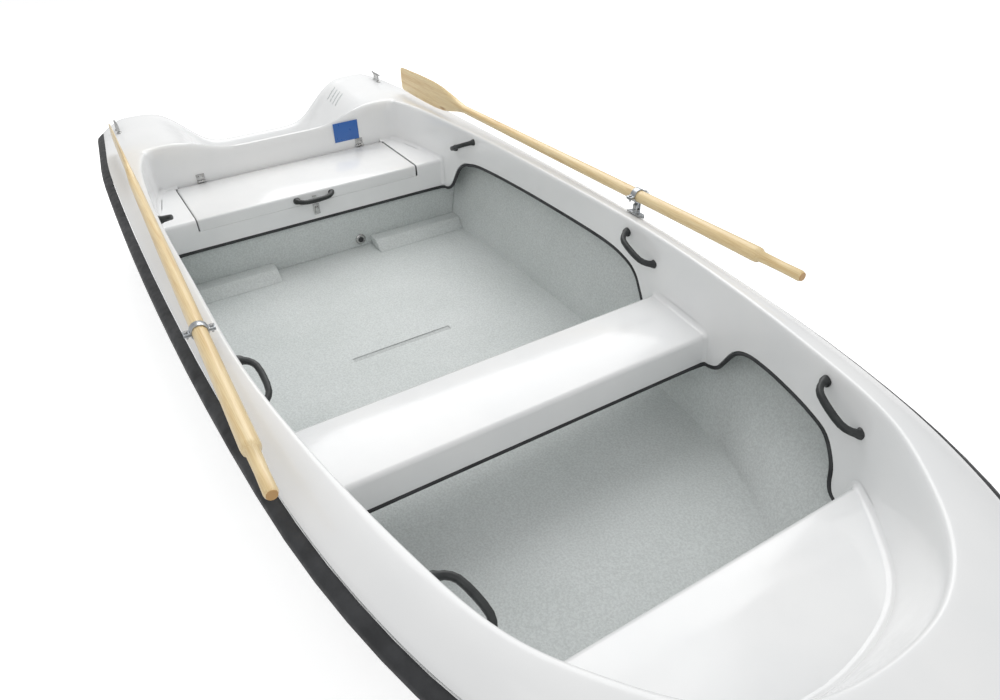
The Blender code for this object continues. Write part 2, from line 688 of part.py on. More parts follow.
def build_hull():
    """The hull shell with its transom, keel and bilge runners."""
    solid = loft([hull_ring(section, 0, BLANK_TOP) for section in SECTIONS])
    hull = make_object("hull_shell", solid, "white_gelcoat", smooth=30)
    inside_z = SECTIONS[0].floor.z + HULL_SKIN + OVERRUN
    lines = [("keel", 0, KEEL_WIDTH, KEEL_START_SHARE, KEEL_END_SHARE)]
    for name, side in SIDES:
        place = side * RUNNER_SPACING / 2
        lines.append((f"runner_{name}", place, RUNNER_WIDTH, RUNNER_START_SHARE, RUNNER_END_SHARE))
    for name, y, width, start, end in lines:
        low, high = STERN_X + start * LENGTH, STERN_X + end * LENGTH
        tip = (high, SECTIONS[0].floor.z)
        outline = [(low, 0), (high - KEEL_SWEEP, 0), tip, (high, inside_z), (low, inside_z)]
        boolean(hull, cutter(name, prism(outline, y - width / 2, y + width / 2)), "UNION")
    top = BLANK_TOP + OVERRUN
    aft_ring = hull_ring(SECTIONS[2], HULL_SKIN, top)
    rings = [[Vector((STERN_X + TRANSOM_THICKNESS, point.y, point.z)) for point in aft_ring]]
    rings += [hull_ring(section, HULL_SKIN, top) for section in SECTIONS[4:-2]]
    boolean(hull, cutter("hull_inside", loft(rings)), "DIFFERENCE")
    behind = STERN_X + TRANSOM_THICKNESS + GAP
    over_transom = prism(transom_outline(), STERN_X - OVERRUN, behind, "x")
    boolean(hull, cutter("cut_transom", over_transom), "DIFFERENCE")
    boolean(hull, cutter("cut_gunwale", gunwale_cutter(behind - GAP)), "DIFFERENCE")
    groove_x = LOCKER_X + GROOVE_FROM_LOCKER
    floor_z = floor_level(groove_x)
    low = (groove_x, -GROOVE_LENGTH / 2, floor_z - GROOVE_DEPTH)
    high = (groove_x + GROOVE_WIDTH, GROOVE_LENGTH / 2, floor_z + GROOVE_DEPTH)
    boolean(hull, cutter("cut_groove", box(low, high)), "DIFFERENCE")


def gunwale_cutter(start_x):
    """What lies above the hull's top edge, just under the deck, ahead of the transom."""
    rows = []
    for section in SECTIONS:
        if section.gunwale.x <= start_x:
            base = section
            continue
        rows.append((section.gunwale.x, section.gunwale.z))
    rows.insert(0, (start_x, base.gunwale.z))
    rows.append((STERN_X + LENGTH + OVERRUN, rows[-1][1]))
    rings = []
    for x, z in rows:
        low, high = z - RIM_DROP, BLANK_TOP + OVERRUN
        rings.append([(x, BEAM, low), (x, BEAM, high), (x, -BEAM, high), (x, -BEAM, low)])
    return loft(rings)


def seat_half(x, z):
    """Half the width of a seat moulding that butts against the walls all through its thickness."""
    return min(wall_half(x + step, z) for step in (-DECK_SKIN, 0, DECK_SKIN)) - GAP


def seat_shell(name, profile, divisions):
    """A seat moulding: an (x, z) profile drawn across the boat from wall to wall."""
    rows = []
    for step in range(divisions + 1):
        share = 2 * step / divisions - 1
        rows.append([Vector((x, share * seat_half(x, z), z)) for x, z in profile])
    mesh_data = bmesh.new()
    add_grid(mesh_data, rows)
    merge_close(mesh_data)
    bmesh.ops.recalc_face_normals(mesh_data, faces=mesh_data.faces)
    top = max(mesh_data.faces, key=lambda face: abs(face.normal.z))
    if top.normal.z < 0:
        bmesh.ops.reverse_faces(mesh_data, faces=mesh_data.faces)
    seat = make_object(name, mesh_data, "white_gelcoat", smooth=35)
    solidify(seat, DECK_SKIN)
    return seat


def rounded_edge(x, direction):
    """The rounded top edge of a seat, from its top to its front, as (x, z) points."""
    back = x - direction * SEAT_EDGE_RADIUS
    middle = SEAT_EDGE_RADIUS * LIP_MIDDLE_SHARE
    return [
        (back, SEAT_HEIGHT),
        (x - direction * middle, SEAT_HEIGHT - middle),
        (x, SEAT_HEIGHT - SEAT_EDGE_RADIUS),
    ]


def build_seats():
    """The stern seat over the locker, the middle thwart and the fore seat."""
    bottom = (LOCKER_X + SEAT_DRAFT, SEAT_HEIGHT - LOCKER_DROP)
    stern = seat_shell("stern_seat", [(RECESS_X + GAP, SEAT_HEIGHT), *rounded_edge(LOCKER_X, 1), bottom], 4)
    low = (RECESS_X - OVERRUN, -LID_WIDTH / 2 - LID_SIDE_GAP, SEAT_HEIGHT - LID_DEPTH - GAP)
    high = (LOCKER_X + OVERRUN, LID_WIDTH / 2 + LID_SIDE_GAP, SEAT_HEIGHT + OVERRUN)
    boolean(stern, cutter("cut_lid", box(low, high)), "DIFFERENCE")
    fore_x = THWART_X + THWART_WIDTH
    foot = SEAT_HEIGHT - THWART_DROP
    profile = [
        (THWART_X - SEAT_DRAFT, foot), *reversed(rounded_edge(THWART_X, -1)),
        *rounded_edge(fore_x, 1), (fore_x + SEAT_DRAFT, foot),
    ]
    seat_shell("mid_thwart", profile, 2)
    build_fore_seat()


def build_fore_seat():
    """The fore seat: flat, filling the bow of the cockpit, with a turned-down aft edge."""
    line = [wall_point(section, SEAT_HEIGHT - 2 * DECK_SKIN) for section in FORE_SECTIONS]
    ahead = [point for point in line if point.x > FORE_SEAT_X + 2 * SEAT_EDGE_RADIUS]
    rows = []
    foot = (FORE_SEAT_X - SEAT_DRAFT, SEAT_HEIGHT - FORE_SEAT_DROP)
    for x, z in [foot, *reversed(rounded_edge(FORE_SEAT_X, -1))]:
        half = seat_half(x, z - DECK_SKIN)
        rows.append([Vector((x, half * share, z)) for share in (-1, 0, 1)])
    for before, point, after in zip(ahead, ahead[1:], ahead[2:] + [flip(ahead[-2])]):
        run = after - before
        normal = Vector((-run.y, run.x, 0)).normalized()
        inner = point - normal * GAP * 2 if normal.x > 0 else point + normal * GAP * 2
        half = max(inner.y, 0)
        rows.append([Vector((inner.x, half * share, SEAT_HEIGHT)) for share in (-1, 0, 1)])
    mesh_data = bmesh.new()
    add_grid(mesh_data, rows)
    merge_close(mesh_data)
    bmesh.ops.recalc_face_normals(mesh_data, faces=mesh_data.faces)
    top = max(mesh_data.faces, key=lambda face: abs(face.normal.z))
    if top.normal.z < 0:
        bmesh.ops.reverse_faces(mesh_data, faces=mesh_data.faces)
    seat = make_object("fore_seat", mesh_data, "white_gelcoat", smooth=35)
    solidify(seat, DECK_SKIN)


def build_bulkhead():
    """The grey bulkhead under the stern seat, and the two low steps at its foot."""
    front = LOCKER_X - DECK_SKIN - GAP
    back = front - BULKHEAD_THICKNESS
    floor_z = floor_level(back) + GAP
    chine_z = STATIONS[0].chine_rise_share * GUNWALE_HEIGHT
    top = WALL_BOTTOM - 2 * GAP
    side = [(hull_inner_half(back, z) - 2 * GAP, z) for z in (floor_z, min(top, chine_z), top)]
    outline = side + [(-y, z) for y, z in reversed(side)]
    make_object("locker_bulkhead", prism(outline, back, front, "x"), "grey_topcoat")
    for name, sign in SIDES:
        base = floor_level(front) + GAP
        low, top = front + GAP, base + STEP_HEIGHT
        profile = [(low, base), (low + STEP_FOOT, base), (low + STEP_TOP, top), (low, top)]
        rings = [[Vector((x, sign * STEP_CHANNEL / 2, z)) for x, z in profile]]
        rings.append([Vector((x, sign * (hull_inner_half(x, z) - 2 * GAP), z)) for x, z in profile])
        make_object(f"floor_step_{name}", loft(rings), "grey_topcoat")


def swept(path, section, ups, closed=False):
    """A solid of one section along a path. Its points are (out, up), and ups are its outward directions."""
    rows = []
    count = len(path)
    for index, point in enumerate(path):
        before = path[(index - 1) % count] if closed or index else path[0]
        after = path[(index + 1) % count] if closed or index < count - 1 else path[-1]
        tangent = (after - before).normalized()
        out = ups[index] - tangent * ups[index].dot(tangent)
        out.normalize()
        up = tangent.cross(out)
        rows.append([point + out * a + up * b for a, b in section])
    return loft(rows, closed_rows=closed)


def circle(radius, sides):
    angles = [2 * math.pi * step / sides for step in range(sides)]
    return [(radius * math.cos(angle), radius * math.sin(angle)) for angle in angles]


def build_fender():
    """The black rubber fender round the gunwale, flat behind and round in front."""
    port = [section.gunwale for section in SECTIONS]
    line = port + [flip(point) for point in reversed(port[:-1])]
    path, outs = [], []
    for index, point in enumerate(line):
        before, after = line[max(index - 1, 0)], line[min(index + 1, len(line) - 1)]
        run = after - before
        out = Vector((run.y, -run.x, 0)).normalized()
        if out.y * point.y < 0 or (point.y == 0 and out.x < 0):
            out = -out
        if point.x < STERN_X + 2 * FENDER_THICKNESS:
            out = Vector((0, math.copysign(1, point.y), 0))
        outs.append(out)
        path.append(point + out * GAP - Vector((0, 0, FENDER_DROP)))
    half = FENDER_HEIGHT / 2
    section = [(a * FENDER_THICKNESS / half, b) for a, b in arc(half, -math.pi / 2, math.pi / 2, 6)]
    rows = [[point + out * a + Vector((0, 0, b)) for a, b in section] for point, out in zip(path, outs)]
    make_object("gunwale_fender", loft(rows), "black_rubber", smooth=40)


def trim_side(edge):
    """The path of the trim along one opening's edge, just inside the opening."""
    reach = TRIM_DIAMETER / 2 + 2 * GAP
    points = []
    for index, (x, z) in enumerate(edge):
        before, after = edge[max(index - 1, 0)], edge[min(index + 1, len(edge) - 1)]
        run = Vector((after[0] - before[0], after[1] - before[1])).normalized()
        inside = (x + run.y * reach, z - run.x * reach)
        points.append(Vector((inside[0], wall_half(x, z) + DECK_SKIN / 2, inside[1])))
    return points


def build_trims():
    """The black edging of the aft and fore openings: two closed loops."""
    aft, fore = opening_edges()
    drop = TRIM_DIAMETER / 2 + 2 * GAP
    skin = DECK_SKIN / 2
    fore_face = THWART_X + THWART_WIDTH + SEAT_DRAFT - skin
    loops = (
        ("trim_aft", aft, (LOCKER_X + SEAT_DRAFT - skin, SEAT_HEIGHT - LOCKER_DROP - drop),
         (THWART_X - SEAT_DRAFT + skin, SEAT_HEIGHT - THWART_DROP - drop)),
        ("trim_fore", fore, (fore_face, SEAT_HEIGHT - THWART_DROP - drop),
         (FORE_SEAT_X - SEAT_DRAFT + skin, SEAT_HEIGHT - FORE_SEAT_DROP - drop)),
    )
    for name, edge, start, end in loops:
        side = trim_side(edge)
        corners = []
        for x, z in (start, end):
            half = wall_half(x, z) - TRIM_DIAMETER
            corners.append([Vector((x, half * share, z)) for share in (0, 0.5, 1)])
        ends = corners[0][-1], corners[1][-1]
        side = [point for point in side if min((point - end).length for end in ends) > TRIM_DIAMETER]
        port = [*corners[0], *side, *reversed(corners[1])]
        loop = port + [flip(point) for point in reversed(port[1:-1])]
        middle = sum(loop, Vector()) / len(loop)
        outs = [(point - middle).normalized() for point in loop]
        ring = swept(loop, circle(TRIM_DIAMETER / 2, 8), outs, closed=True)
        make_object(name, ring, "black_rubber", smooth=60)


def grab_handle(name, aft_foot, fore_foot, normal):
    """A grab handle with its two feet on a wall. Its grip stands off along the normal."""
    along = (fore_foot - aft_foot).normalized()
    normal = (normal - along * normal.dot(along)).normalized()
    middle = (aft_foot + fore_foot) / 2 + normal * GAP
    half = HANDLE_LENGTH / 2 - HANDLE_FOOT / 2
    rise = HANDLE_STANDOFF
    # Columns: place along the handle, height, half width
    shape = (
        (half, 0, HANDLE_FOOT / 2),
        (half, rise / 6, HANDLE_FOOT / 2),
        (half - rise / 8, rise / 3, HANDLE_GRIP / 2),
        (half - rise / 2, rise * 0.85, HANDLE_GRIP / 2),
        (half - rise * 0.8, rise, HANDLE_GRIP / 2),
    )
    ends = [(-x, z, radius) for x, z, radius in shape] + list(reversed(shape))
    across = normal.cross(along)
    rows = []
    for index, (x, z, radius) in enumerate(ends):
        before, after = ends[max(index - 1, 0)], ends[min(index + 1, len(ends) - 1)]
        flat = index in (0, 1, len(ends) - 2, len(ends) - 1)
        run = Vector((after[0] - before[0], after[1] - before[1])).normalized()
        if flat:
            run = Vector((0, 1)) if x < 0 else Vector((0, -1))
        side_way = along * run.y - normal * run.x
        centre = middle + along * x + normal * z
        rows.append([centre + side_way * a + across * b for a, b in circle(radius, 10)])
    return make_object(name, loft(rows), "black_plastic", smooth=50)


def build_handles():
    """Six handles on the cockpit walls and one on the locker lid."""
    for row in WALL_HANDLES:
        centre = RECESS_X + row.along_share * COCKPIT
        wall_height = COAMING_HEIGHT - SEAT_HEIGHT
        rises = (row.aft_rise_share * wall_height, row.fore_rise_share * wall_height)
        slope = rises[1] - rises[0]
        reach = math.sqrt(HANDLE_LENGTH ** 2 - slope ** 2) / 2
        aft = wall_across(centre - reach, SEAT_HEIGHT + rises[0])
        fore = wall_across(centre + reach, SEAT_HEIGHT + rises[1])
        middle = (aft + fore) / 2
        wall = wall_across(middle.x, middle.z)
        bulge = wall - middle
        above = wall_across(middle.x, middle.z + rises[0] / 2)
        normal = (fore - aft).cross(above - wall)
        if normal.y > 0:
            normal = -normal
        shift = normal.normalized() * max(bulge.dot(normal.normalized()), 0)
        for name, side in SIDES:
            points = [aft + shift, fore + shift, normal.copy()]
            if side < 0:
                points = [flip(point) for point in points]
            grab_handle(f"handle_{row.name}_{name}", *points)
    lid_x = LOCKER_X
    z = SEAT_HEIGHT - LID_DEPTH / 2
    reach = HANDLE_LENGTH / 2
    grab_handle("handle_lid", Vector((lid_x, -reach, z)), Vector((lid_x, reach, z)), Vector((1, 0, 0)))


def build_lid():
    """The locker lid: a tray turned over, hung on its rear edge."""
    rear, front = lid_span()
    axis = hinge_axis()
    low = Vector((rear, -LID_WIDTH / 2, SEAT_HEIGHT - LID_DEPTH)) - axis
    high = Vector((front, LID_WIDTH / 2, SEAT_HEIGHT)) - axis
    shell = box(low, high, LID_EDGE_RADIUS, open_foot=True)
    lid = make_object("locker_lid", shell, "white_gelcoat", Matrix.Translation(axis), smooth=35)
    skin = Vector((LID_SKIN, LID_SKIN, 0))
    hollow = box(low + skin - Vector((0, 0, OVERRUN)), high - skin - Vector((0, 0, LID_SKIN)))
    boolean(lid, cutter("lid_hollow", hollow, Matrix.Translation(axis)), "DIFFERENCE")


def lid_span():
    """The rear and front of the lid."""
    return RECESS_X + LID_REAR_GAP, LOCKER_X


def hinge_axis():
    """The middle of the lid's hinge line."""
    rear = lid_span()[0]
    return Vector((rear, 0, SEAT_HEIGHT + HINGE_BARREL / 2 + 2 * GAP))


def build_hinges():
    """Two hinges: a plate with two knuckles on the wall, and a knuckle with a tab on the lid."""
    axis = hinge_axis()
    radius = HINGE_BARREL / 2
    middle = HINGE_WIDTH * HINGE_KNUCKLE_SHARE / 2
    wall_x = RECESS_X + GAP - axis.x
    for name, side in SIDES:
        place = Matrix.Translation(axis + Vector((0, side * HINGE_SPACING / 2, 0)))
        plate_low = (wall_x, -HINGE_WIDTH / 2, -radius)
        plate_high = (wall_x + HINGE_PLATE, HINGE_WIDTH / 2, HINGE_PLATE_HEIGHT)
        plate = box(plate_low, plate_high)
        fixed = make_object(f"hinge_wall_{name}", plate, "stainless_steel", place, smooth=40)
        inner, outer = middle + RUNNING_GAP, HINGE_WIDTH / 2
        for label, start, end in (("a", -outer, -inner), ("b", inner, outer)):
            barrel = turned([(0, start), (radius, start), (radius, end), (0, end)], "y")
            boolean(fixed, cutter(f"knuckle_{label}_{name}", barrel, place), "UNION")
            web = box((plate_low[0], start, -radius / 2), (0, end, radius / 2))
            boolean(fixed, cutter(f"web_{label}_{name}", web, place), "UNION")
        barrel = turned([(0, -middle), (radius, -middle), (radius, middle), (0, middle)], "y")
        moving = make_object(f"hinge_lid_{name}", barrel, "stainless_steel", place, smooth=40)
        tab_low = (-GAP - HINGE_PLATE, -middle, SEAT_HEIGHT - LID_DEPTH / 2 - axis.z)
        boolean(moving, cutter(f"tab_{name}", box(tab_low, (-GAP, middle, 0)), place), "UNION")


def build_latch():
    """The toggle latch: its body on the seat's front and its catch on the lid."""
    foot = SEAT_HEIGHT - LID_DEPTH
    lean = SEAT_DRAFT * (LATCH_HEIGHT + SEAT_EDGE_RADIUS) / LOCKER_DROP + SEAT_DRAFT * LID_DEPTH / LOCKER_DROP
    base_x = LOCKER_X + lean
    half = LATCH_WIDTH / 2
    top = foot - 2 * GAP
    body = box((base_x, -half, top - LATCH_HEIGHT), (base_x + LATCH_PLATE, half, top - LATCH_HEIGHT / 8))
    latch = make_object("latch_body", body, "stainless_steel", smooth=40)
    lever = box(
        (base_x + LATCH_PLATE / 2, -half * 0.6, top - LATCH_HEIGHT * 0.9),
        (base_x + LATCH_LEVER, half * 0.6, top - LATCH_HEIGHT * 0.35), LATCH_PLATE / 2)
    boolean(latch, cutter("latch_lever", lever), "UNION")
    low = (LOCKER_X + GAP, -half * 0.7, foot + LID_EDGE_RADIUS)
    high = (LOCKER_X + GAP + LATCH_PLATE, half * 0.7, foot + LID_EDGE_RADIUS + CATCH_HEIGHT)
    catch_x = low[0]
    hook = prism([
        (catch_x, low[2]), (catch_x + LATCH_PLATE, low[2]),
        (catch_x + LATCH_LEVER * 0.6, low[2] + CATCH_HEIGHT * 0.35),
        (catch_x + LATCH_PLATE, low[2] + CATCH_HEIGHT / 2),
        (catch_x + LATCH_PLATE, high[2]), (catch_x, high[2]),
    ], low[1], high[1])
    make_object("latch_catch", hook, "stainless_steel")


def build_drain():
    """The drain plug's flange on the bulkhead."""
    front = LOCKER_X - DECK_SKIN
    bore = DRAIN_BORE / 2
    rim = DRAIN_DIAMETER / 2
    profile = [(0, 0), (rim, 0), (rim, DRAIN_DEPTH / 2), (rim - DRAIN_DEPTH / 2, DRAIN_DEPTH),
               (bore, DRAIN_DEPTH), (bore, DRAIN_DEPTH / 3), (0, DRAIN_DEPTH / 3)]
    place = Matrix.Translation((front, DRAIN_OFFSET, floor_level(front) + DRAIN_HEIGHT))
    make_object("drain_plug", turned(profile, "x", 20), "stainless_steel", place, smooth=40)


def build_plate():
    """The small blank plate on the wall behind the stern seat."""
    foot = hinge_axis().z + HINGE_PLATE_HEIGHT + GAP
    place = Matrix.Translation((RECESS_X + GAP, PLATE_OFFSET, foot))
    high = (PLATE_THICKNESS, PLATE_WIDTH / 2, PLATE_HEIGHT_SHARE * (WELL_LIP - foot))
    body = box((0, -PLATE_WIDTH / 2, 0), high)
    make_object("blank_plate", body, "blue_plate", place)


def build_cleats():
    """A horn cleat on each quarter deck."""
    x = STERN_X + CLEAT_ALONG_SHARE * MOTOR_WELL
    rows = [deck_across(section) for section in AFT_SECTIONS]
    pairs = [(row[0].x, row[0]) for row in rows]
    outer = interpolate(pairs, x)
    inner = interpolate([(row[-1].x, row[-1]) for row in rows], x)
    foot = outer.lerp(inner, CLEAT_ACROSS_SHARE)
    y = foot.y
    radius = CLEAT_LEG / 2
    for name, side in SIDES:
        centre = Vector((x, side * y, 0))
        bar = []
        for share, thick in ((-1, 0.35), (-0.85, 0.7), (-0.4, 1.0), (0.4, 1.0), (0.85, 0.7), (1, 0.35)):
            lift = CLEAT_BAR * abs(share) / 2
            along = share * CLEAT_LENGTH / 2
            ring = circle(CLEAT_BAR / 2, 8)
            bar.append([Vector((along, b * thick, a * thick + lift)) for a, b in ring])
        top = deck_height(x, y) + CLEAT_HEIGHT
        place = Matrix.Translation(centre + Vector((0, 0, top)))
        cleat = make_object(f"cleat_{name}", loft(bar), "stainless_steel", place, smooth=50)
        for label, step in (("aft", -1), ("fore", 1)):
            offset = step * CLEAT_LEG_SPACING / 2
            ring = []
            for a, b in circle(radius, 10):
                spot = Vector((offset + a, b, 0))
                ring.append(spot)
            foot_ring = []
            for spot in ring:
                level = deck_height(x + spot.x, y + side * spot.y) + 2 * GAP
                foot_ring.append(Vector((spot.x, spot.y, level - top)))
            top_ring = [Vector((v.x, v.y, 0)) for v in ring]
            leg = loft([foot_ring, top_ring])
            boolean(cleat, cutter(f"cleat_leg_{label}_{name}", leg, place), "UNION")


def oar_frames():
    """Each side's name, sign, and the place of its oarlock with its turn about the vertical."""
    for name, side in SIDES:
        spot = Matrix.Translation((OARLOCK_X, side * OARLOCK_SPACING / 2, OAR_HEIGHT))
        yield name, side, spot @ Matrix.Rotation(math.radians(side * OAR_TOE), 4, "Z")


def oar_section(x, half_height, half_width, squareness):
    """A ring round the oar: round at zero squareness, nearly a rectangle at one."""
    power = 1 - 0.55 * squareness
    ring = []
    for step in range(12):
        angle = 2 * math.pi * step / 12
        y, z = math.cos(angle), math.sin(angle)
        y = math.copysign(abs(y) ** power, y)
        z = math.copysign(abs(z) ** power, z)
        ring.append(Vector((x, half_width * y, half_height * z)))
    return ring


def build_oar(name, place):
    """A pine oar: blade, tapering loom, shoulder and grip, turned and planed from one length."""
    outboard = OAR_LENGTH - OAR_INBOARD
    rings = []
    for share, height_share, thickness_share in BLADE_SHARES:
        x = -outboard + share * outboard
        rings.append(oar_section(x, height_share * BLADE_WIDTH, thickness_share * BLADE_THICKNESS, 0.6))
    for share, height_share, width_share in LOOM_SHARES:
        x = -outboard + share * outboard
        rings.append(oar_section(x, height_share * LOOM_DIAMETER, width_share * LOOM_DIAMETER, 0))
    loom, grip = LOOM_DIAMETER / 2, GRIP_DIAMETER / 2
    shoulder = OAR_INBOARD - GRIP_LENGTH
    # Columns: place, radius
    inboard = (
        (shoulder * 0.5, loom * 1.05), (shoulder - loom, loom * 1.15), (shoulder - loom / 3, loom * 1.1),
        (shoulder, grip * 1.05), (shoulder + GRIP_LENGTH * 0.5, grip * 0.97),
        (OAR_INBOARD - grip / 2, grip * 1.02), (OAR_INBOARD, grip * 0.8),
    )
    for x, radius in inboard:
        rings.append(oar_section(x, radius, radius, 0))
    make_object(f"oar_{name}", loft(rings), "pine_wood", place, smooth=50)


def half_ring(upper):
    """Half of the clamp ring with its two ears, round the oar's axis."""
    inner = LOOM_DIAMETER / 2 + RUNNING_GAP
    outer = inner + RING_THICKNESS
    base = RING_SPLIT / 2
    ear = base + RING_EAR_THICKNESS
    start = math.asin(base / inner)
    ear_angle = math.asin(ear / outer)
    inside = arc(inner, start, math.pi - start, 10)
    outside = arc(outer, ear_angle, math.pi - ear_angle, 10)
    reach = outer + RING_EAR
    outline = [*inside, (-reach, base), (-reach, ear), *reversed(outside), (reach, ear), (reach, base)]
    if not upper:
        outline = [(y, -z) for y, z in outline]
    return prism(outline, -RING_WIDTH / 2, RING_WIDTH / 2, "x")


def arc(radius, start, end, steps):
    """Points on an arc between two angles."""
    angles = [start + (end - start) * step / steps for step in range(steps + 1)]
    return [(radius * math.cos(angle), radius * math.sin(angle)) for angle in angles]


def build_clamp(name, place):
    """The clamp ring in two halves. The lower half has the tongue that the tilt pivot goes through."""
    make_object(f"clamp_upper_{name}", half_ring(True), "galvanised_steel", place, smooth=40)
    lower = make_object(f"clamp_lower_{name}", half_ring(False), "galvanised_steel", place, smooth=40)
    top = -LOOM_DIAMETER / 2 - RING_THICKNESS / 2
    bottom = -PIVOT_DROP - TONGUE_WIDTH / 2
    wide, thick = TONGUE_WIDTH / 2, TONGUE_THICKNESS / 2
    tongue = box((-wide, -thick, bottom), (wide, thick, top))
    boolean(lower, cutter(f"tongue_{name}", tongue, place), "UNION")
    radius = PIVOT_BOLT / 2 + RUNNING_GAP
    reach = TONGUE_THICKNESS
    bore = turned([(0, -reach), (radius, -reach), (radius, reach), (0, reach)], "y")
    hole = moved(bore, (0, 0, -PIVOT_DROP))
    boolean(lower, cutter(f"tongue_hole_{name}", hole, place), "DIFFERENCE")


def build_fork(name, place):
    """The swivelling fork: hub, stem, two ears and the pivot bolt across them."""
    hub_top = -PIVOT_DROP - PIVOT_OVER_HUB
    hub_foot = hub_top - FORK_HUB_HEIGHT
    hub, stem = FORK_HUB / 2, FORK_STEM / 2
    stem_foot = hub_foot - FORK_STEM_DEPTH
    profile = [
        (0, stem_foot), (stem, stem_foot), (stem, hub_foot), (hub, hub_foot), (hub, hub_top), (0, hub_top),
    ]
    fork = make_object(f"oarlock_fork_{name}", turned(profile), "galvanised_steel", place, smooth=40)
    near = TONGUE_THICKNESS / 2 + RUNNING_GAP
    far = near + FORK_EAR
    ear_top = -PIVOT_DROP + FORK_EAR_WIDTH / 2
    overlap = FORK_HUB_HEIGHT / 2
    for label, side in SIDES:
        low_y, high_y = sorted((side * near, side * far))
        wide = FORK_EAR_WIDTH / 2
        ear = box((-wide, low_y, hub_top - overlap), (wide, high_y, ear_top - FORK_EAR))
        boolean(fork, cutter(f"fork_ear_{label}_{name}", ear, place), "UNION")
    head = far + BOLT_HEAD_HEIGHT
    bolt, nut = PIVOT_BOLT / 2, BOLT_HEAD / 2
    inside = far - FORK_EAR / 2
    half = [(bolt, inside), (nut, inside), (nut, head), (0, head)]
    profile = [(radius, -level) for radius, level in reversed(half)] + half
    pin = moved(turned(profile, "y"), (0, 0, -PIVOT_DROP))
    boolean(fork, cutter(f"pivot_bolt_{name}", pin, place), "UNION")


def build_socket(name, side):
    """The oarlock's socket on the side deck: a wedge plate with a level top and a bored boss."""
    y = OARLOCK_SPACING / 2
    top = OAR_HEIGHT - PIVOT_DROP - PIVOT_OVER_HUB - FORK_HUB_HEIGHT - GAP
    flange = top - SOCKET_BOSS_HEIGHT
    half_x, half_y = SOCKET_LENGTH / 2, SOCKET_WIDTH / 2
    low_ring, top_ring = [], []
    inner, outer = -SOCKET_INSET - half_y, half_y - SOCKET_INSET
    for dx, dy in ((-half_x, inner), (half_x, inner), (half_x, outer), (-half_x, outer)):
        level = max(deck_height(OARLOCK_X + step, y + dy) for step in (-half_x, 0, half_x)) + GAP
        low_ring.append(Vector((OARLOCK_X + dx, side * (y + dy), level)))
        top_ring.append(Vector((OARLOCK_X + dx, side * (y + dy), max(flange, level + SOCKET_FLANGE))))
    socket = make_object(f"oarlock_socket_{name}", loft([low_ring, top_ring]), "galvanised_steel", smooth=40)
    radius = SOCKET_BOSS / 2
    place = Matrix.Translation((OARLOCK_X, side * y, top))
    foot = deck_height(OARLOCK_X, y - radius) - top + SOCKET_FLANGE / 2
    boss = turned([(0, foot), (radius, foot), (radius, 0), (0, 0)])
    boolean(socket, cutter(f"socket_boss_{name}", boss, place), "UNION")
    bore = FORK_STEM / 2 + RUNNING_GAP
    depth = FORK_STEM_DEPTH + 2 * GAP
    hole = turned([(0, -depth), (bore, -depth), (bore, OVERRUN), (0, OVERRUN)])
    boolean(socket, cutter(f"socket_bore_{name}", hole, place), "DIFFERENCE")


def build_oars():
    """Both oars with their oarlocks."""
    for name, side, place in oar_frames():
        build_oar(name, place)
        build_clamp(name, place)
        build_fork(name, place)
        build_socket(name, side)


def build_bow_eye():
    """The ring on the stem that the painter is tied to."""
    chine, gunwale = SECTIONS[-1].chine, SECTIONS[-1].gunwale
    middle = chine.lerp(gunwale, 0.35)
    slope = (gunwale - chine).normalized()
    out = Vector((slope.z, 0, -slope.x))
    across = Vector((0, 1, 0))
    half = BOW_EYE_WIDTH / 2
    frame = Matrix((
        (out.x, across.x, slope.x, middle.x), (out.y, across.y, slope.y, middle.y),
        (out.z, across.z, slope.z, middle.z), (0, 0, 0, 1)))
    foot, tall = 2 * GAP, half + BOW_EYE_ROD
    plate = box((foot, -BOW_EYE_ROD, -tall), (foot + BOW_EYE_PLATE, BOW_EYE_ROD, tall))
    eye = make_object("bow_eye", plate, "stainless_steel", frame, smooth=50)
    base = BOW_EYE_PLATE / 2
    stretch = BOW_EYE_REACH / half
    path = [Vector((base + y * stretch, 0, x)) for x, y in arc(half, 0, math.pi, 8)]
    outs = [Vector((0, 1, 0))] * len(path)
    boolean(eye, cutter("eye_rod", swept(path, circle(BOW_EYE_ROD / 2, 8), outs), frame), "UNION")


def build_boat():
    clear_scene()
    build_hull()
    build_deck()
    build_seats()
    build_bulkhead()
    build_fender()
    build_trims()
    build_lid()
    build_hinges()
    build_latch()
    build_drain()
    build_plate()
    build_handles()
    build_cleats()
    build_oars()
    build_bow_eye()


build_boat()
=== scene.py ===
"""Looks of a moulded rowing boat with stowed oars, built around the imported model.

Metres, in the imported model's frame: +X is the bow, +Y is port, +Z is up.
"""
import math
from collections import namedtuple

import bmesh
import bpy
from mathutils import Matrix, Vector
from mathutils.bvhtree import BVHTree


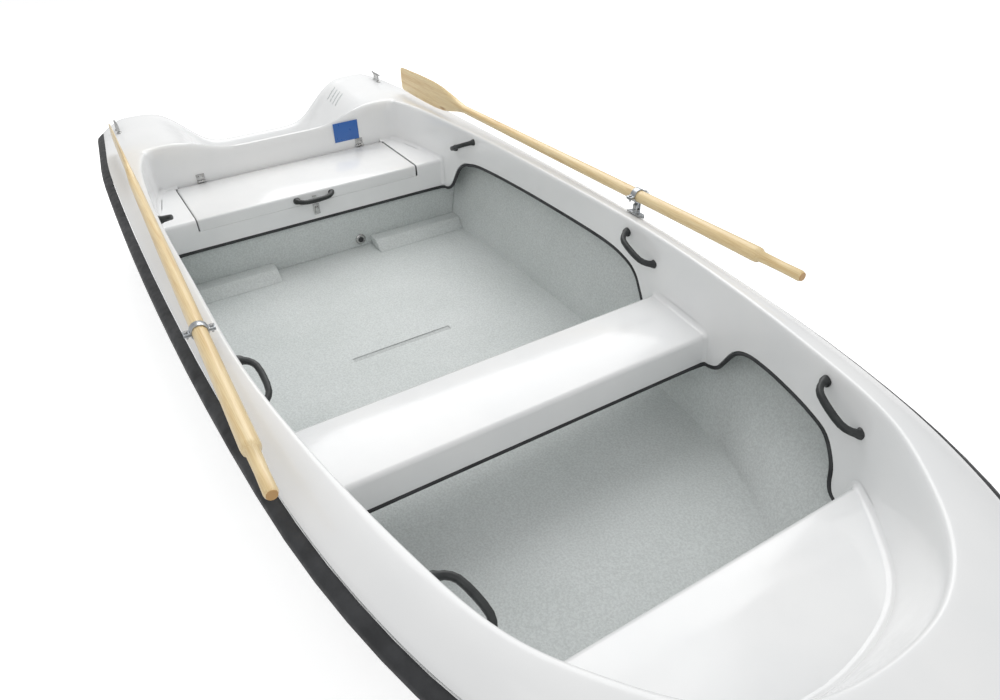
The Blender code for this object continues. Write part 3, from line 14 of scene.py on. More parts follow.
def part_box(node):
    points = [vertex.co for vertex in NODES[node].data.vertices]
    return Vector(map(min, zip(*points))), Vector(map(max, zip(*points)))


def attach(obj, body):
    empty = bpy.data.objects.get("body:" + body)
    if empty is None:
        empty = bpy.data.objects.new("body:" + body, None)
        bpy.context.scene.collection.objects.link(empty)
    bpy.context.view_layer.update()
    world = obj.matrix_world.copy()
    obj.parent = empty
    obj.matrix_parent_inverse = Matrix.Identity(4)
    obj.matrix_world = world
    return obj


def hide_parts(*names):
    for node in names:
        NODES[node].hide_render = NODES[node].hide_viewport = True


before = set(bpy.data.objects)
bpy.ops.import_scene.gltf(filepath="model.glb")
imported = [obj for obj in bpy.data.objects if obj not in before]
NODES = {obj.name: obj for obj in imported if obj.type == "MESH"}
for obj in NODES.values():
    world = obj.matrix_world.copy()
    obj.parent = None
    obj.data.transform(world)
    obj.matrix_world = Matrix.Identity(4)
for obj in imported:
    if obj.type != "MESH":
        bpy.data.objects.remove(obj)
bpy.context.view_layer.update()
WHITE, GREY, RUBBER, PLASTIC = "gelcoat", "topcoat", "rubber", "black_plastic"
PINE, ZINC, STEEL, BLUE = "pine", "galvanised", "stainless", "blue_plate"

# Main sizes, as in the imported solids
LENGTH = 4.0
BEAM = 1.5
GUNWALE_HEIGHT = 0.532
COAMING_HEIGHT = 0.565
SEAT_HEIGHT = 0.365
COCKPIT_BEAM = 1.312
MOTOR_WELL = 0.42
FOREDECK = 0.44
DECK_SKIN = 0.006
LIP_RADIUS = 0.012
LIP_MIDDLE = 0.3
GAP = 0.0005
WELL_SILL = 0.389
WELL_FLOOR = 0.315
WELL_LIP = 0.495
LOCKER_LENGTH = 0.385
LOCKER_DROP = 0.122
THWART_WIDTH = 0.277
THWART_DROP = 0.092
FORE_SEAT_DROP = 0.092
FORE_WALL_DROP = 0.03
SEAT_EDGE = 0.014
SEAT_DRAFT = 0.006
STERN_X = -2.01675
RECESS_X = STERN_X + MOTOR_WELL
COCKPIT = LENGTH - MOTOR_WELL - FOREDECK
LOCKER_X = RECESS_X + LOCKER_LENGTH
THWART_X = STERN_X + 0.563 * LENGTH
FORE_SEAT_X = STERN_X + 0.79375 * LENGTH
WALL_BOTTOM = SEAT_HEIGHT - LOCKER_DROP
CUT_BOTTOM = WALL_BOTTOM - 0.05
FACETS = 3

# Inside of the hull: its floor, and the groove across it
FLOOR_LEVEL = 0.0445
GROOVE_LEVEL = 0.03
GROOVE_X = -0.4
GROOVE_HALF_WIDTH = 0.03
GROOVE_HALF_LENGTH = 0.21
TRANSOM_SKIN = 0.01

# Fillets between seats and walls
COVE_RADIUS = 0.016
COVE_STEPS = 7
COVE_SINK = 0.0004
COVE_LIFT = 0.0002
COVE_FOOT = 0.002
COVE_CORNER = (0.88, 0.93, 0.97)
WALL_STEP = 0.02
EDGE_STEPS = 6

# Ribs in the motor well, and the fillet over the transom
RIBS = 4
RIB_STOPS = 8
RIB_SIDES = 10
RIB_X = -1.932
RIB_LOW_Y = 0.366
RIB_SPACING = 0.033
RIB_WIDTH = 0.009
RIB_RISE = 0.003
RIB_RUN = 0.0075
RIB_SLANT = 0.0018
CAP_INSET = 0.0004
CAP_DEPTH = 0.028
CAP_HEIGHT = 0.016
CAP_HALF = 0.6
CAP_STEPS = 60

# Screw heads: radius and height
HANDLE_SCREW = (0.0036, 0.0016)
HINGE_SCREW = (0.0042, 0.0018)
CLEAT_SCREW = (0.0028, 0.0014)
DRAIN_SCREW = (0.0026, 0.0010)
CROSS_HALF_ANGLE = 0.25
CROSS_REACH = 0.6
CROSS_DEPTH = 0.55

# Grab handles. Stops: place along, height, half length and half width of the section
HANDLE_STOPS = (
    (-0.0705, 0.0000, 0.0135, 0.0125), (-0.0705, 0.0045, 0.0135, 0.0125),
    (-0.0695, 0.0085, 0.0118, 0.0112), (-0.0665, 0.0150, 0.0085, 0.0092),
    (-0.0610, 0.0235, 0.0078, 0.0086), (-0.0520, 0.0315, 0.0078, 0.0084),
    (-0.0400, 0.0370, 0.0079, 0.0084), (-0.0200, 0.0397, 0.0080, 0.0086),
    (0.0000, 0.0402, 0.0081, 0.0088),
)
HANDLE_TOP = HANDLE_STOPS[-1][1] + HANDLE_STOPS[-1][2]
HANDLE_SQUARENESS = 0.75
HANDLE_SIDES = 20
GRIP_REACH = 0.045
FOOT_START = 0.066
HANDLE_SCREW_ALONG = 0.0775
HANDLE_SCREW_HEIGHT = 0.0070
HANDLE_SCREW_LEAN = 0.55

# Hinges
HINGE_PLATE = 0.0025
HINGE_SCREW_SIDE = 0.0095
HINGE_SCREW_DROP = 0.010

# Oars and the bolts of their clamps. Tip: radius and level
OAR_TURN = math.radians(2)
OAR_END = 0.7025
CLAMP_X, CLAMP_Y, CLAMP_HEIGHT = 0.03525, 0.72, 0.62
EAR_SIDE = 0.0325
EAR_HALF = 0.0047
BOLT_HEAD = (0.0058, 0.0042)
BOLT_END = -0.0100
BOLT_TIP = ((0.0028, 0.002), (0.0028, -0.004), (0.0018, -0.005))

# Cleats' feet. Stops: share of the half sizes, and level
LEG_SIDE = 0.0225
FOOT_HALF_X, FOOT_HALF_Y = 0.013, 0.0095
FOOT_TOP = 0.0036
FOOT_STOPS = ((1.0, 0.0003), (1.0, 0.0022), (0.8, FOOT_TOP))
FOOT_SCREW_SIDE = 0.0068
SLOPE_STEP = 0.01

# Drain plug. Stops: radius and level
DRAIN_INSET = 0.0012
DRAIN_CAP = ((0.0115, 0.0), (0.0115, 0.0024), (0.0098, 0.0036), (0.0042, 0.0036), (0.0036, 0.0028))
DRAIN_SCREWS = 3
DRAIN_SCREW_CIRCLE = 0.018

# Welding distances
WELD = 0.00005
NODE_WELD = 0.00002

# Stage. Lights: name, place, size and power
FLOOR_SIZE = 40
FLOOR_GLOW = 0.42
WORLD_LIGHT, WORLD_SEEN = 0.6, 1.0
LIGHT_AIM = (0, 0, 0.3)
LIGHTS = (
    ("key", (-2.7, 1.6, 4.2), 4.2, 140),
    ("fill", (2.6, -2.4, 4.0), 4.0, 30),
)

# Camera, fitted to the photograph
CAMERA_PLACE = (1.84425, -0.887, 1.703)
CAMERA_RIGHT = (0.5215, 0.8528, -0.0287)
CAMERA_BACK = (0.7024, -0.410, 0.5814)
CAMERA_LENS, CAMERA_SENSOR = 27.70, 36

WellRow = namedtuple("WellRow", "along half gunwale deck level")
WELL_ROWS = (
    WellRow(0.000, 0.862, 1.015, 1.018, WELL_SILL),
    WellRow(0.030, 0.881, 1.015, 1.018, WELL_SILL),
    WellRow(0.095, 0.896, 1.016, 1.016, WELL_SILL),
    WellRow(0.125, 0.900, 1.017, 1.015, WELL_FLOOR),
    WellRow(0.500, 0.922, 1.020, 1.000, WELL_FLOOR),
    WellRow(0.880, 0.947, 1.012, 0.979, WELL_FLOOR),
    WellRow(0.930, 0.951, 1.010, 0.976, WELL_LIP),
    WellRow(1.000, 0.955, 1.009, 0.973, WELL_LIP),
)
# Across the motor well: share of the half width, and share of the depth
WELL_COLUMNS = (
    (1.0, 0.0), (0.82, 0.0), (0.73, 0.10), (0.64, 0.30), (0.54, 0.60), (0.40, 1.0), (0.18, 1.0),
)
# Gunwale's place, half width and rise; coaming's; the wall's place and half width at the seats
STATIONS = (
    (0.0000, 0.955, 1.009, 0.0000, 0.854, 0.973, 0.0000, 0.835),
    (0.0531, 0.973, 1.002, 0.0605, 0.937, 0.970, 0.0605, 0.919),
    (0.1927, 0.993, 1.000, 0.2197, 0.991, 0.983, 0.2197, 0.983),
    (0.3464, 1.000, 1.000, 0.3949, 0.999, 0.998, 0.3949, 0.994),
    (0.5000, 0.987, 0.990, 0.5541, 1.000, 1.000, 0.5541, 0.994),
    (0.6397, 0.947, 0.968, 0.6815, 0.948, 1.000, 0.6815, 0.938),
    (0.7374, 0.873, 0.962, 0.7930, 0.864, 1.000, 0.7930, 0.843),
    (0.8073, 0.773, 0.968, 0.8758, 0.770, 1.000, 0.8710, 0.739),
    (0.8687, 0.627, 0.981, 0.9300, 0.617, 1.000, 0.9204, 0.587),
    (0.9246, 0.440, 0.992, 0.9710, 0.442, 1.000, 0.9522, 0.442),
    (0.9749, 0.220, 1.002, 0.9940, 0.236, 1.000, 0.9697, 0.259),
    (1.0000, 0.000, 1.006, 1.0000, 0.000, 1.000, 0.9777, 0.000),
)
# Across the side deck: share of the width, and share of the rise
DECK_ACROSS = ((0.0, 0.0), (0.05, 0.15), (0.12, 0.28), (0.52, 0.82), (0.78, 0.96))
# Outlines of the openings: share of the length, and rise over the seats as a share of the drop
AFT_EDGE = (
    (0.012, -1.0), (0.030, -0.97), (0.055, -0.74), (0.087, -0.10), (0.120, 0.24), (0.155, 0.38),
    (0.220, 0.52), (0.400, 0.62), (0.585, 0.67), (0.800, 0.65), (0.890, 0.48), (0.930, 0.22),
    (0.953, -0.18), (0.968, -0.48), (0.983, -0.68), (1.000, -0.75),
)
FORE_EDGE = (
    (0.015, -1.0), (0.055, -0.93), (0.105, -0.70), (0.180, 0.15), (0.270, 0.52), (0.400, 0.62),
    (0.560, 0.60), (0.690, 0.52), (0.795, 0.34), (0.870, -0.24), (0.893, -0.74), (0.915, -0.95),
    (0.950, -1.0),
)
Section = namedtuple("Section", "gunwale coaming wall lip")


# Materials

class Look:
    """A node material under construction."""

    def __init__(self, name, colour, roughness, metallic=0.0, **fixed):
        self.made = bpy.data.materials.new(f"look_{name}")
        self.made.use_nodes = True
        self.tree = self.made.node_tree
        self.shader = self.tree.nodes["Principled BSDF"]
        self.shader.inputs["Base Color"].default_value = (*colour, 1)
        self.shader.inputs["Roughness"].default_value = roughness
        self.shader.inputs["Metallic"].default_value = metallic
        for socket, value in fixed.items():
            self.shader.inputs[socket.replace("_", " ")].default_value = value
        self.coords = self.tree.nodes.new("ShaderNodeTexCoord").outputs["Object"]

    def add(self, kind, inputs=(), **settings):
        node = self.tree.nodes.new(kind)
        for key, value in settings.items():
            setattr(node, key, value)
        for key, value in dict(inputs).items():
            if isinstance(value, bpy.types.NodeSocket):
                self.tree.links.new(value, node.inputs[key])
            else:
                node.inputs[key].default_value = value
        return node

    def stretched(self, scale, rotation):
        node = self.add("ShaderNodeMapping", {
            "Vector": self.coords, "Scale": scale, "Rotation": rotation})
        return node.outputs["Vector"]

    def noise(self, scale, detail=3.0, vector=None, roughness=0.5):
        node = self.add("ShaderNodeTexNoise", {
            "Vector": vector or self.coords, "Scale": scale, "Detail": detail,
            "Roughness": roughness})
        return node.outputs["Fac"]

    def ramp(self, factor, *stops):
        node = self.add("ShaderNodeValToRGB", {"Fac": factor})
        while len(node.color_ramp.elements) < len(stops):
            node.color_ramp.elements.new(0.5)
        for element, (place, colour) in zip(node.color_ramp.elements, stops):
            element.position = place
            element.color = (*(colour if isinstance(colour, tuple) else (colour,) * 3), 1)
        return node.outputs["Color"]

    def multiply(self, factor, first, second):
        return self.mix(factor, first, second, "MULTIPLY")

    def mix(self, factor, first, second, blend="MIX"):
        node = self.add("ShaderNodeMix", data_type="RGBA", blend_type=blend)
        for index, value in ((0, factor), (6, first), (7, second)):
            if isinstance(value, bpy.types.NodeSocket):
                self.tree.links.new(value, node.inputs[index])
            else:
                plain = (*value, 1) if isinstance(value, tuple) else value
                node.inputs[index].default_value = plain
        return node.outputs[2]

    def set(self, socket, value):
        self.tree.links.new(value, self.shader.inputs[socket])

    def bump(self, height, strength, distance, before=None):
        inputs = {"Height": height, "Strength": strength, "Distance": distance}
        if before:
            inputs["Normal"] = before
        node = self.add("ShaderNodeBump", inputs)
        self.set("Normal", node.outputs["Normal"])
        return node.outputs["Normal"]


def gelcoat():
    look = Look(WHITE, (0.86, 0.87, 0.87), 0.24, Coat_Weight=0.3, Coat_Roughness=0.1)
    look.set("Base Color", look.ramp(
        look.noise(3.5, 4), (0.35, (0.835, 0.845, 0.85)), (0.65, (0.875, 0.88, 0.88))))
    look.set("Roughness", look.ramp(look.noise(24, 4), (0.3, 0.16), (0.7, 0.26)))
    look.bump(look.noise(160, 2), 0.03, 0.002)
    return look.made


def topcoat(name, shade):
    """The rough, speckled paint inside the hull; a shade under 1 darkens its tone as painted shade.
    """
    look = Look(name, (0.6, 0.64, 0.63), 0.55, Coat_Weight=0.12, Coat_Roughness=0.35)
    cloud = look.noise(2.2, 5, roughness=0.6)
    speck = look.noise(150, 4, roughness=0.75)
    tone = look.ramp(cloud, (0.3, (0.655, 0.695, 0.685)), (0.7, (0.73, 0.765, 0.76)))
    flecks = look.ramp(speck, (0.40, 0.83), (0.60, 1.0))
    shaded = look.multiply(1.0, tone, (shade, shade, shade))
    look.set("Base Color", look.multiply(1.0, shaded, flecks))
    look.set("Roughness", look.ramp(look.noise(60, 4), (0.3, 0.42), (0.7, 0.68)))
    first = look.bump(look.noise(70, 6, roughness=0.7), 0.5, 0.007)
    look.bump(speck, 0.3, 0.002, first)
    return look.made


def rubber():
    look = Look(RUBBER, (0.03, 0.03, 0.035), 0.6)
    look.set("Base Color", look.ramp(
        look.noise(14, 5), (0.35, (0.016, 0.017, 0.019)), (0.7, (0.04, 0.042, 0.046))))
    look.set("Roughness", look.ramp(look.noise(45, 4), (0.3, 0.42), (0.7, 0.66)))
    look.bump(look.noise(420, 2), 0.12, 0.001)
    return look.made


def black_plastic():
    look = Look(PLASTIC, (0.022, 0.025, 0.025), 0.4)
    look.set("Base Color", look.ramp(
        look.noise(40, 3), (0.3, (0.014, 0.016, 0.017)), (0.7, (0.03, 0.034, 0.034))))
    look.set("Roughness", look.ramp(look.noise(90, 3), (0.3, 0.32), (0.7, 0.5)))
    look.bump(look.noise(900, 2), 0.15, 0.0004)
    return look.made


def pine(side):
    """Pine with its grain along the oar, darker end grain and a few knots."""
    word = "port" if side > 0 else "starboard"
    look = Look(f"{PINE}_{word}", (0.8, 0.6, 0.3), 0.36, Coat_Weight=0.3, Coat_Roughness=0.2)
    turn = (0, 0, -side * OAR_TURN)
    rings = look.noise(2.0, 5, look.stretched((1.1, 26, 26), turn), 0.6)
    fine = look.noise(9.0, 3, look.stretched((1.0, 60, 60), turn))
    tone = look.ramp(
        rings, (0.30, (0.74, 0.53, 0.25)), (0.48, (0.86, 0.68, 0.38)), (0.70, (0.90, 0.75, 0.47)))
    veins = look.ramp(fine, (0.36, (0.84, 0.77, 0.68)), (0.60, (1.0, 1.0, 1.0)))
    wood = look.multiply(0.75, tone, veins)
    cells = look.add("ShaderNodeTexVoronoi", {
        "Vector": look.stretched((3.4, 13, 13), turn), "Scale": 1.0, "Randomness": 1.0})
    knot = look.ramp(cells.outputs["Distance"], (0.045, 1.0), (0.13, 0.0))
    wood = look.mix(knot, wood, (0.40, 0.19, 0.065))
    along = look.add("ShaderNodeSeparateXYZ", {"Vector": look.coords}).outputs["X"]
    end = look.add("ShaderNodeMath", {0: along, 1: OAR_END}, operation="GREATER_THAN").outputs[0]
    look.set("Base Color", look.mix(end, wood, (0.56, 0.33, 0.13)))
    look.set("Roughness", look.ramp(fine, (0.3, 0.30), (0.7, 0.46)))
    look.bump(fine, 0.12, 0.0008)
    return look.made


def metal(name, dark, light, low, high, scale):
    """A metal between two tones and between two roughnesses."""
    look = Look(name, light, low, 1.0)
    look.set("Base Color", look.ramp(look.noise(scale, 4), (0.3, dark), (0.7, light)))
    look.set("Roughness", look.ramp(look.noise(scale * 2.5, 4), (0.3, low), (0.7, high)))
    look.bump(look.noise(scale * 9, 2), 0.06, 0.0004)
    return look.made


def blue_plate():
    look = Look(BLUE, (0.02, 0.13, 0.46), 0.3, Coat_Weight=0.4, Coat_Roughness=0.1)
    look.set("Base Color", look.ramp(
        look.noise(9, 2), (0.3, (0.016, 0.115, 0.42)), (0.7, (0.019, 0.128, 0.45))))
    look.set("Roughness", look.ramp(look.noise(30, 2), (0.3, 0.27), (0.7, 0.33)))
    return look.made


LOOKS = {
    WHITE: gelcoat(),
    GREY: topcoat(GREY, 1.0),
    RUBBER: rubber(),
    PLASTIC: black_plastic(),
    BLUE: blue_plate(),
    ZINC: metal("galvanised", (0.36, 0.38, 0.40), (0.58, 0.60, 0.62), 0.26, 0.44, 55),
    STEEL: metal("stainless", (0.40, 0.40, 0.40), (0.58, 0.58, 0.57), 0.16, 0.30, 40),
}
WOODS = {1: pine(1), -1: pine(-1)}


# Mesh helpers

def piece(name, mesh_data, slot, body="hull", smooth=40):
    """A new piece that rides on a body."""
    mesh = bpy.data.meshes.new(name)
    mesh_data.to_mesh(mesh)
    mesh_data.free()
    mesh.materials.append(LOOKS[slot])
    mesh.shade_smooth()
    mesh.set_sharp_from_angle(angle=math.radians(smooth))
    made = bpy.data.objects.new(name, mesh)
    bpy.context.scene.collection.objects.link(made)
    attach(made, body)
    return made


def plain_object(name, mesh_data):
    """An object that is no piece of the boat."""
    mesh = bpy.data.meshes.new(name)
    mesh_data.to_mesh(mesh)
    mesh_data.free()
    made = bpy.data.objects.new(name, mesh)
    bpy.context.scene.collection.objects.link(made)
    return made


def add_grid(mesh_data, rows, closed=False):
    """Faces between rows of points, which may be closed rings."""
    made = [[mesh_data.verts.new(point) for point in row] for row in rows]
    for first, second in zip(made, made[1:]):
        for index in range(len(first) - (0 if closed else 1)):
            after = (index + 1) % len(first)
            mesh_data.faces.new((first[index], first[after], second[after], second[index]))
    return made


def tidy(mesh_data):
    bmesh.ops.remove_doubles(mesh_data, verts=mesh_data.verts, dist=WELD)
    bmesh.ops.dissolve_degenerate(mesh_data, edges=mesh_data.edges, dist=WELD)
    bmesh.ops.recalc_face_normals(mesh_data, faces=mesh_data.faces)
    return mesh_data


def loft(rows, mesh_data=None):
    """A closed skin over rings of points."""
    mesh_data = mesh_data or bmesh.new()
    made = add_grid(mesh_data, rows, True)
    mesh_data.faces.new(made[0])
    mesh_data.faces.new(list(reversed(made[-1])))
    return mesh_data


def oval(place, half_x, half_y, level, sides):
    """A ring of points round a frame's Z."""
    turn = 2 * math.pi / sides
    return [
        place @ Vector((half_x * math.cos(turn * step), half_y * math.sin(turn * step), level))
        for step in range(sides)]


def catmull(before, start, end, after, share):
    square, cube = share ** 2, share ** 3
    return tuple(
        (2 * b + (c - a) * share + (2 * a - 5 * b + 4 * c - d) * square
         + (3 * b - a - 3 * c + d) * cube) / 2
        for a, b, c, d in zip(before, start, end, after))


def smooth_rows(rows, steps):
    """Rows of numbers with a curve's steps between them."""
    padded = [rows[0], *rows, rows[-1]]
    result = []
    for index in range(1, len(padded) - 2):
        for step in range(steps):
            result.append(catmull(*padded[index - 1:index + 3], step / steps))
    return result + [tuple(rows[-1])]


def interpolate(pairs, place):
    """The value at a place. The last two pairs also serve what lies past them."""
    for (low, low_value), (high, high_value) in zip(pairs, pairs[1:]):
        if place <= high:
            break
    return low_value + (high_value - low_value) * (place - low) / (high - low)


def flip(point):
    return Vector((point.x, -point.y, point.z))


def frame_at(origin, normal, along):
    """A frame with its Z on the normal and its X near a direction."""
    z = normal.normalized()
    x = (along - z * along.dot(z)).normalized()
    y = z.cross(x)
    return Matrix((
        (x.x, y.x, z.x, origin.x), (x.y, y.y, z.y, origin.y), (x.z, y.z, z.z, origin.z),
        (0, 0, 0, 1)))


# The deck moulding's surface

def port_sections():
    """Sections of the port side deck: beside the motor well, and from the stern seat to the bow."""
    half_beam, inner_half = BEAM / 2, COCKPIT_BEAM / 2
    last = STATIONS[-2]
    mirrored = (last[0], -last[1], last[2], last[3], -last[4], last[5], last[6], -last[7])
    aft, fore = [], []
    for row in WELL_ROWS[:-1]:
        x = STERN_X + row.along * MOTOR_WELL
        outer = Vector((x, row.half * half_beam, row.gunwale * GUNWALE_HEIGHT))
        inner = Vector((x, STATIONS[0][4] * inner_half, row.deck * COAMING_HEIGHT))
        aft.append(Section(outer, inner, inner, 0.0))
    rows = smooth_rows([*STATIONS, mirrored], FACETS)[:(len(STATIONS) - 1) * FACETS + 1]
    for index, row in enumerate(rows):
        x = RECESS_X + row[0] * (LENGTH - MOTOR_WELL)
        fore.append(Section(
            Vector((x, row[1] * half_beam, row[2] * GUNWALE_HEIGHT)),
            Vector((RECESS_X + row[3] * COCKPIT, row[4] * inner_half, row[5] * COAMING_HEIGHT)),
            Vector((RECESS_X + row[6] * COCKPIT, row[7] * inner_half, SEAT_HEIGHT)),
            LIP_RADIUS if index else 0.0))
    return aft, fore


AFT, FORE = port_sections()
SECTIONS = AFT + FORE


def wall_point(section, z):
    share = (section.coaming.z - z) / (section.coaming.z - section.wall.z)
    return section.coaming + (section.wall - section.coaming) * share


def wall_across(x, z):
    line = [wall_point(section, z) for section in FORE]
    return Vector((x, interpolate([(point.x, point.y) for point in line], x), z))


def wall_up(x, z):
    """The way up the cockpit's wall at a place."""
    return (wall_across(x, z + WALL_STEP) - wall_across(x, z)).normalized()


def deck_across(section):
    """Points from the gunwale over the side deck and round its lip."""
    outer, inner = section.gunwale, section.coaming
    width = (inner - outer).length
    points = []
    for across, rise in [*DECK_ACROSS, (1 - section.lip / width, 1.0)]:
        flat = outer.lerp(inner, across)
        points.append(Vector((flat.x, flat.y, outer.z + rise * (inner.z - outer.z))))
    middle = outer.lerp(inner, 1 - section.lip * LIP_MIDDLE / width)
    points.append(Vector((middle.x, middle.y, inner.z - section.lip * LIP_MIDDLE)))
    points.append(inner if section.lip == 0 else wall_point(section, inner.z - section.lip))
    return points


def deck_level(x, y):
    """The side deck's level."""
    columns = []
    for section in SECTIONS[:-2 * FACETS]:
        pairs = sorted((point.y, point.z) for point in deck_across(section)[:-2])
        columns.append((section.gunwale.x, interpolate(pairs, y)))
    return interpolate(columns, x)


def well_surface():
    """Rows of points over the motor well and down the wall behind the stern seat."""
    corner = FORE[0]
    port = []
    for half, depth in WELL_COLUMNS:
        row = []
        for line in WELL_ROWS:
            deck = line.deck * COAMING_HEIGHT
            x = STERN_X + line.along * MOTOR_WELL
            row.append(Vector((x, half * corner.coaming.y, deck + depth * (line.level - deck))))
        for level in (SEAT_HEIGHT, WALL_BOTTOM):
            foot = wall_point(corner, level)
            row.append(Vector((foot.x, half * foot.y, foot.z)))
        port.append(row)
    return port + [[flip(point) for point in row] for row in reversed(port)]


def edge_curve(shares, start, end, drop):
    return smooth_rows(
        [(start + along * (end - start), SEAT_HEIGHT + rise * drop) for along, rise in shares], 4)


AFT_CURVE = edge_curve(AFT_EDGE, LOCKER_X, THWART_X, LOCKER_DROP)
FORE_CURVE = edge_curve(FORE_EDGE, THWART_X + THWART_WIDTH, FORE_SEAT_X, THWART_DROP)


def apply_all(made):
    """Applies the object's modifiers to its mesh."""
    graph = bpy.context.evaluated_depsgraph_get()
    done = bpy.data.meshes.new_from_object(made.evaluated_get(graph))
    made.modifiers.clear()
    made.data = done


def build_deck():
    """The deck moulding with soft edges: a subdivided, thickened surface with its openings cut."""
    surface = bmesh.new()
    rows = [deck_across(section) for section in SECTIONS]
    walls = [
        [deck_across(s)[-1], wall_point(s, SEAT_HEIGHT), wall_point(s, WALL_BOTTOM)] for s in FORE]
    for grid in (rows, walls):
        add_grid(surface, grid)
    for grid in (rows, walls):
        add_grid(surface, [[flip(point) for point in row] for row in grid])
    add_grid(surface, well_surface())
    tidy(surface)
    top = max(surface.faces, key=lambda face: face.calc_center_median().z * abs(face.normal.z))
    if top.normal.z < 0:
        bmesh.ops.reverse_faces(surface, faces=surface.faces)
    deck = piece("deck_soft", surface, WHITE, smooth=180)
    soften = deck.modifiers.new("soften", "SUBSURF")
    soften.levels = soften.render_levels = 2
    skin = deck.modifiers.new("skin", "SOLIDIFY")
    skin.thickness, skin.offset, skin.use_even_offset = DECK_SKIN, -1, True
    start = AFT_CURVE[0][0] - DECK_SKIN
    outline = [
        *AFT_CURVE, (THWART_X, SEAT_HEIGHT - THWART_DROP),
        (THWART_X + THWART_WIDTH, SEAT_HEIGHT - THWART_DROP), *FORE_CURVE,
        (FORE_SEAT_X, SEAT_HEIGHT - FORE_SEAT_DROP),
        (FORE_SEAT_X + FORE_SEAT_DROP, SEAT_HEIGHT - FORE_WALL_DROP),
        (STERN_X + LENGTH, SEAT_HEIGHT - FORE_WALL_DROP), (STERN_X + LENGTH, CUT_BOTTOM),
        (start, CUT_BOTTOM), (start, WALL_BOTTOM - GAP),
    ]
    prism = tidy(loft([[Vector((x, y, z)) for x, z in outline] for y in (-BEAM, BEAM)]))
    cutter = plain_object("cut", prism)
    cut = deck.modifiers.new("cut", "BOOLEAN")
    cut.operation, cut.solver, cut.object = "DIFFERENCE", "EXACT", cutter
    apply_all(deck)
    bpy.data.objects.remove(cutter)
    deck.data.shade_smooth()
    deck.data.set_sharp_from_angle(angle=math.radians(38))
    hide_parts("deck_moulding")


def build_hull():
    """The hull's mesh: gelcoat outside, rough topcoat inside, and painted shade in the groove as a
    darker topcoat.
    """
    source = bmesh.new()
    source.from_mesh(NODES["hull_shell"].data)
    bmesh.ops.remove_doubles(source, verts=source.verts, dist=NODE_WELD)
    bmesh.ops.join_triangles(
        source, faces=source.faces, angle_face_threshold=math.radians(12),
        angle_shape_threshold=math.radians(100))
    for face in source.faces:
        centre, normal = face.calc_center_median(), face.normal
        inward = normal.dot(Vector((0, -centre.y, GUNWALE_HEIGHT - centre.z))) > 0.02
        flat = normal.z > 0.7 and centre.z > GROOVE_LEVEL
        ahead = centre.x > STERN_X + TRANSOM_SKIN
        face.material_index = 1 if inward and (centre.z > FLOOR_LEVEL or flat) and ahead else 0
        # Faces in the groove get the darker topcoat: painted shade in the recess.
        if (GROOVE_LEVEL < centre.z < FLOOR_LEVEL and abs(centre.y) < GROOVE_HALF_LENGTH
                and abs(centre.x - GROOVE_X) < GROOVE_HALF_WIDTH):
            face.material_index = 2
    hull = piece("hull_two_tone", source, WHITE, smooth=34)
    hull.data.materials.append(LOOKS[GREY])
    # Painted shade: the groove's topcoat is darkened to 0.8.
    hull.data.materials.append(topcoat("topcoat_groove_painted_shade", 0.8))
    even = hull.modifiers.new("even", "WEIGHTED_NORMAL")
    even.keep_sharp = True
    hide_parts("hull_shell")


# Fillets where the seats meet the walls

def cove(name, path):
    """A hollow fillet along a seam. Each stop is (corner, way up the wall, way over the seat)."""
    rings = []
    for corner, up, over in path:
        ring = [corner - (up + over) * COVE_SINK * 2]
        for step in range(COVE_STEPS):
            share = step / (COVE_STEPS - 1)
            swell = 4 * share * (1 - share)
            lift = (up + over) * (COVE_LIFT * swell - COVE_SINK * (1 - swell))
            ring.append(corner + (up * (1 - share) ** 2 + over * share ** 2) * COVE_RADIUS + lift)
        rings.append(ring)
    piece(name, tidy(loft(rings)), WHITE, smooth=60)


def seat_end(front, direction, foot):
    """Stops from a seat's top round its edge and down its front: place, level and outward way."""
    stops = []
    for step in range(EDGE_STEPS):
        angle = math.pi / 2 * step / (EDGE_STEPS - 1)
        way = Vector((direction * math.sin(angle), 0, math.cos(angle)))
        x = front - direction * SEAT_EDGE + way.x * SEAT_EDGE
        stops.append((x, SEAT_HEIGHT - SEAT_EDGE + way.z * SEAT_EDGE, way))
    return stops + [(front + direction * SEAT_DRAFT, foot, Vector((direction, 0, 0)))]


def along_wall(stops):
    """Stops on the port wall, where the way over the seat is to starboard."""
    return [(wall_across(x, z), way, Vector((0, -1, 0))) for x, z, way in stops]


def square_to(before, after):
    """The level way from the port wall into the boat."""
    run = (after - before).normalized()
    return Vector((run.y, -run.x, 0)).normalized()


def port_seams():
    """The seams' paths on the port side."""
    corner_y = wall_point(FORE[0], SEAT_HEIGHT).y
    stern = [
        (Vector((RECESS_X, corner_y * share, SEAT_HEIGHT)), Vector((0, 0, 1)), Vector((1, 0, 0)))
        for share in COVE_CORNER]
    line = [wall_point(section, SEAT_HEIGHT) for section in FORE]
    for before, point, after in zip(line, line[1:], line[2:]):
        if point.x < LOCKER_X - SEAT_EDGE * 1.5:
            stern.append((point, wall_up(point.x, SEAT_HEIGHT), square_to(before, after)))
    stern += along_wall(seat_end(LOCKER_X, 1, WALL_BOTTOM + COVE_FOOT))
    foot = SEAT_HEIGHT - THWART_DROP + COVE_FOOT
    thwart = along_wall(
        seat_end(THWART_X, -1, foot)[::-1] + seat_end(THWART_X + THWART_WIDTH, 1, foot))
    fore = along_wall(seat_end(FORE_SEAT_X, -1, foot)[::-1])
    rims = [(wall_point(s, SEAT_HEIGHT), wall_point(s, SEAT_HEIGHT + WALL_STEP)) for s in FORE]
    ahead = [pair for pair in rims if pair[0].x > FORE_SEAT_X]
    beyond = [point for point, _ in ahead[2:]] + [flip(ahead[-2][0])]
    for (before, _), (point, above), after in zip(ahead, ahead[1:], beyond):
        fore.append((point, (above - point).normalized(), square_to(before, after)))
    return {"stern": stern, "thwart": thwart, "fore": fore}


